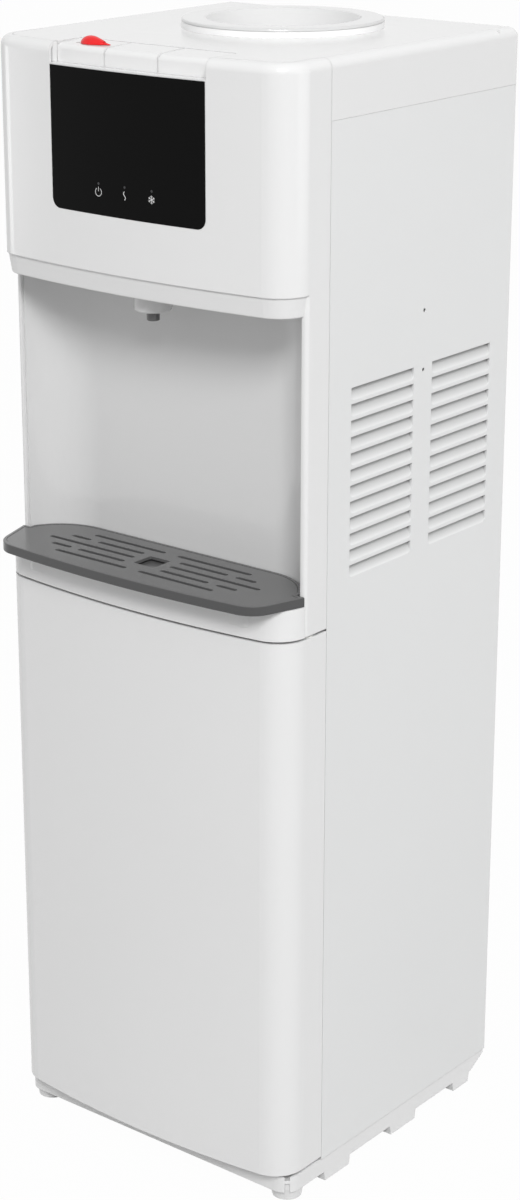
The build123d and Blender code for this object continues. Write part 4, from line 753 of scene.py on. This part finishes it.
def makeSymbols(look):
    # generic signs for power, heat and frost, printed on the black panel
    bed = bmesh.new()
    left, middle, right = look["places"]
    z = look["height"]

    def surface(x):
        return look["front"] + x * x / (2 * look["bow"])

    def draw(points, share=1.0):
        ribbon(bed, points, look["stroke"] * share, look["lift"], surface)

    draw(arcPoints(left, z, look["ring"], look["gap"], 360 - look["gap"], look["ringSteps"]))
    draw([(left, z + end) for end in look["bar"]])

    swing, half = look["wave"]
    steps = look["waveSteps"]
    draw([
        (middle + swing * math.sin(2 * math.pi * i / steps), z - half + 2 * half * i / steps)
        for i in range(steps + 1)
    ], look["waveStroke"])

    star, twig = look["star"], look["twig"]
    for turn in range(0, 180, 60):
        t = math.radians(turn)
        reach = (star * math.sin(t), star * math.cos(t))
        draw([(right - reach[0], z - reach[1]), (right + reach[0], z + reach[1])])
    for turn in range(0, 360, 60):
        t = math.radians(turn)
        root = (right + look["fork"] * star * math.sin(t), z + look["fork"] * star * math.cos(t))
        for lean in (-look["lean"], look["lean"]):
            a = math.radians(turn + lean)
            tip = (root[0] + twig * math.sin(a), root[1] + twig * math.cos(a))
            draw([root, tip], look["twigStroke"])
    finishPiece("panelSymbols", bed, "cabinet", "key_white")


dividerLook = {
    "places": (-27.67, 27.67),
    "thick": 1.0,
    "edge": 0.15,
    # outline along Y and Z, hooked under the ledge and up between the keys
    "outline": (
        (-142.6, 957.6), (-110.4, 957.6), (-110.4, 976.2), (-138.6, 976.4), (-139.9, 975.6),
        (-140.4, 974.2), (-140.4, 962.1), (-142.6, 961.6),
    ),
}


def makeDividers(look):
    # thin ribs that show between the keys
    bed = bmesh.new()
    for x in look["places"]:
        sides = [x + sign * look["thick"] / 2 for sign in (-1, 1)]
        prism(bed, *(
            [bed.verts.new((side * mm, y * mm, z * mm)) for y, z in look["outline"]]
            for side in sides
        ))
    piece = finishPiece("keyDividers", bed, "cabinet", "white_moulding")
    soften = piece.modifiers.new("softEdges", "BEVEL")
    soften.width, soften.segments = look["edge"] * mm, 2


restLook = {
    "half": 20.0,
    "foot": 535.6,
    "top": 549.8,
    "middle": (0.0, -123.6),
    "corner": 3.0,
    "cornerSteps": 4,
    "edge": 0.6,
}


def makeFingerRest(look):
    # raised pad in the tray's basin, under the grille's finger hole
    bed = bmesh.new()
    corner, steps = look["corner"], look["cornerSteps"]
    straight = look["half"] - corner
    outline = []
    for start, sx, sy in ((0, 1, 1), (90, -1, 1), (180, -1, -1), (270, 1, -1)):
        for step in range(steps + 1):
            t = math.radians(start + 90 * step / steps)
            outline.append((
                sx * straight + corner * math.cos(t) + look["middle"][0],
                sy * straight + corner * math.sin(t) + look["middle"][1],
            ))
    prism(bed, *(
        [bed.verts.new((x * mm, y * mm, z * mm)) for x, y in outline]
        for z in (look["foot"], look["top"])
    ))
    piece = finishPiece("fingerRest", bed, "tray", "tray_grey")
    soften = piece.modifiers.new("softEdges", "BEVEL")
    soften.width, soften.segments, soften.limit_method = look["edge"] * mm, 3, "ANGLE"


springLook = {
    "travel": 3.0,    # way of a key
    "springs": (
        # piece, the CAD node that it stands for, joint
        ("hotSpring", "hot_button_spring", "hot_press"),
        ("roomSpring", "room_button_spring", "room_press"),
        ("coldSpring", "cold_button_spring", "cold_press"),
    ),
}


def makeSprings(look):
    # the keys' return springs, copied from the CAD springs and carried by the cabinet
    for name, node, joint in look["springs"]:
        solid = nodes[node]
        spring = bpy.data.objects.new(name, solid.data.copy())
        bpy.context.scene.collection.objects.link(spring)
        spring.matrix_world = solid.matrix_world.copy()
        heights = [(solid.matrix_world @ v.co).z for v in solid.data.vertices]
        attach(spring, "cabinet")
        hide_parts(node)
        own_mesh(spring)


makeSymbols(symbolLook)
makeDividers(dividerLook)
makeFingerRest(restLook)
makeSprings(springLook)
print("small pieces made")
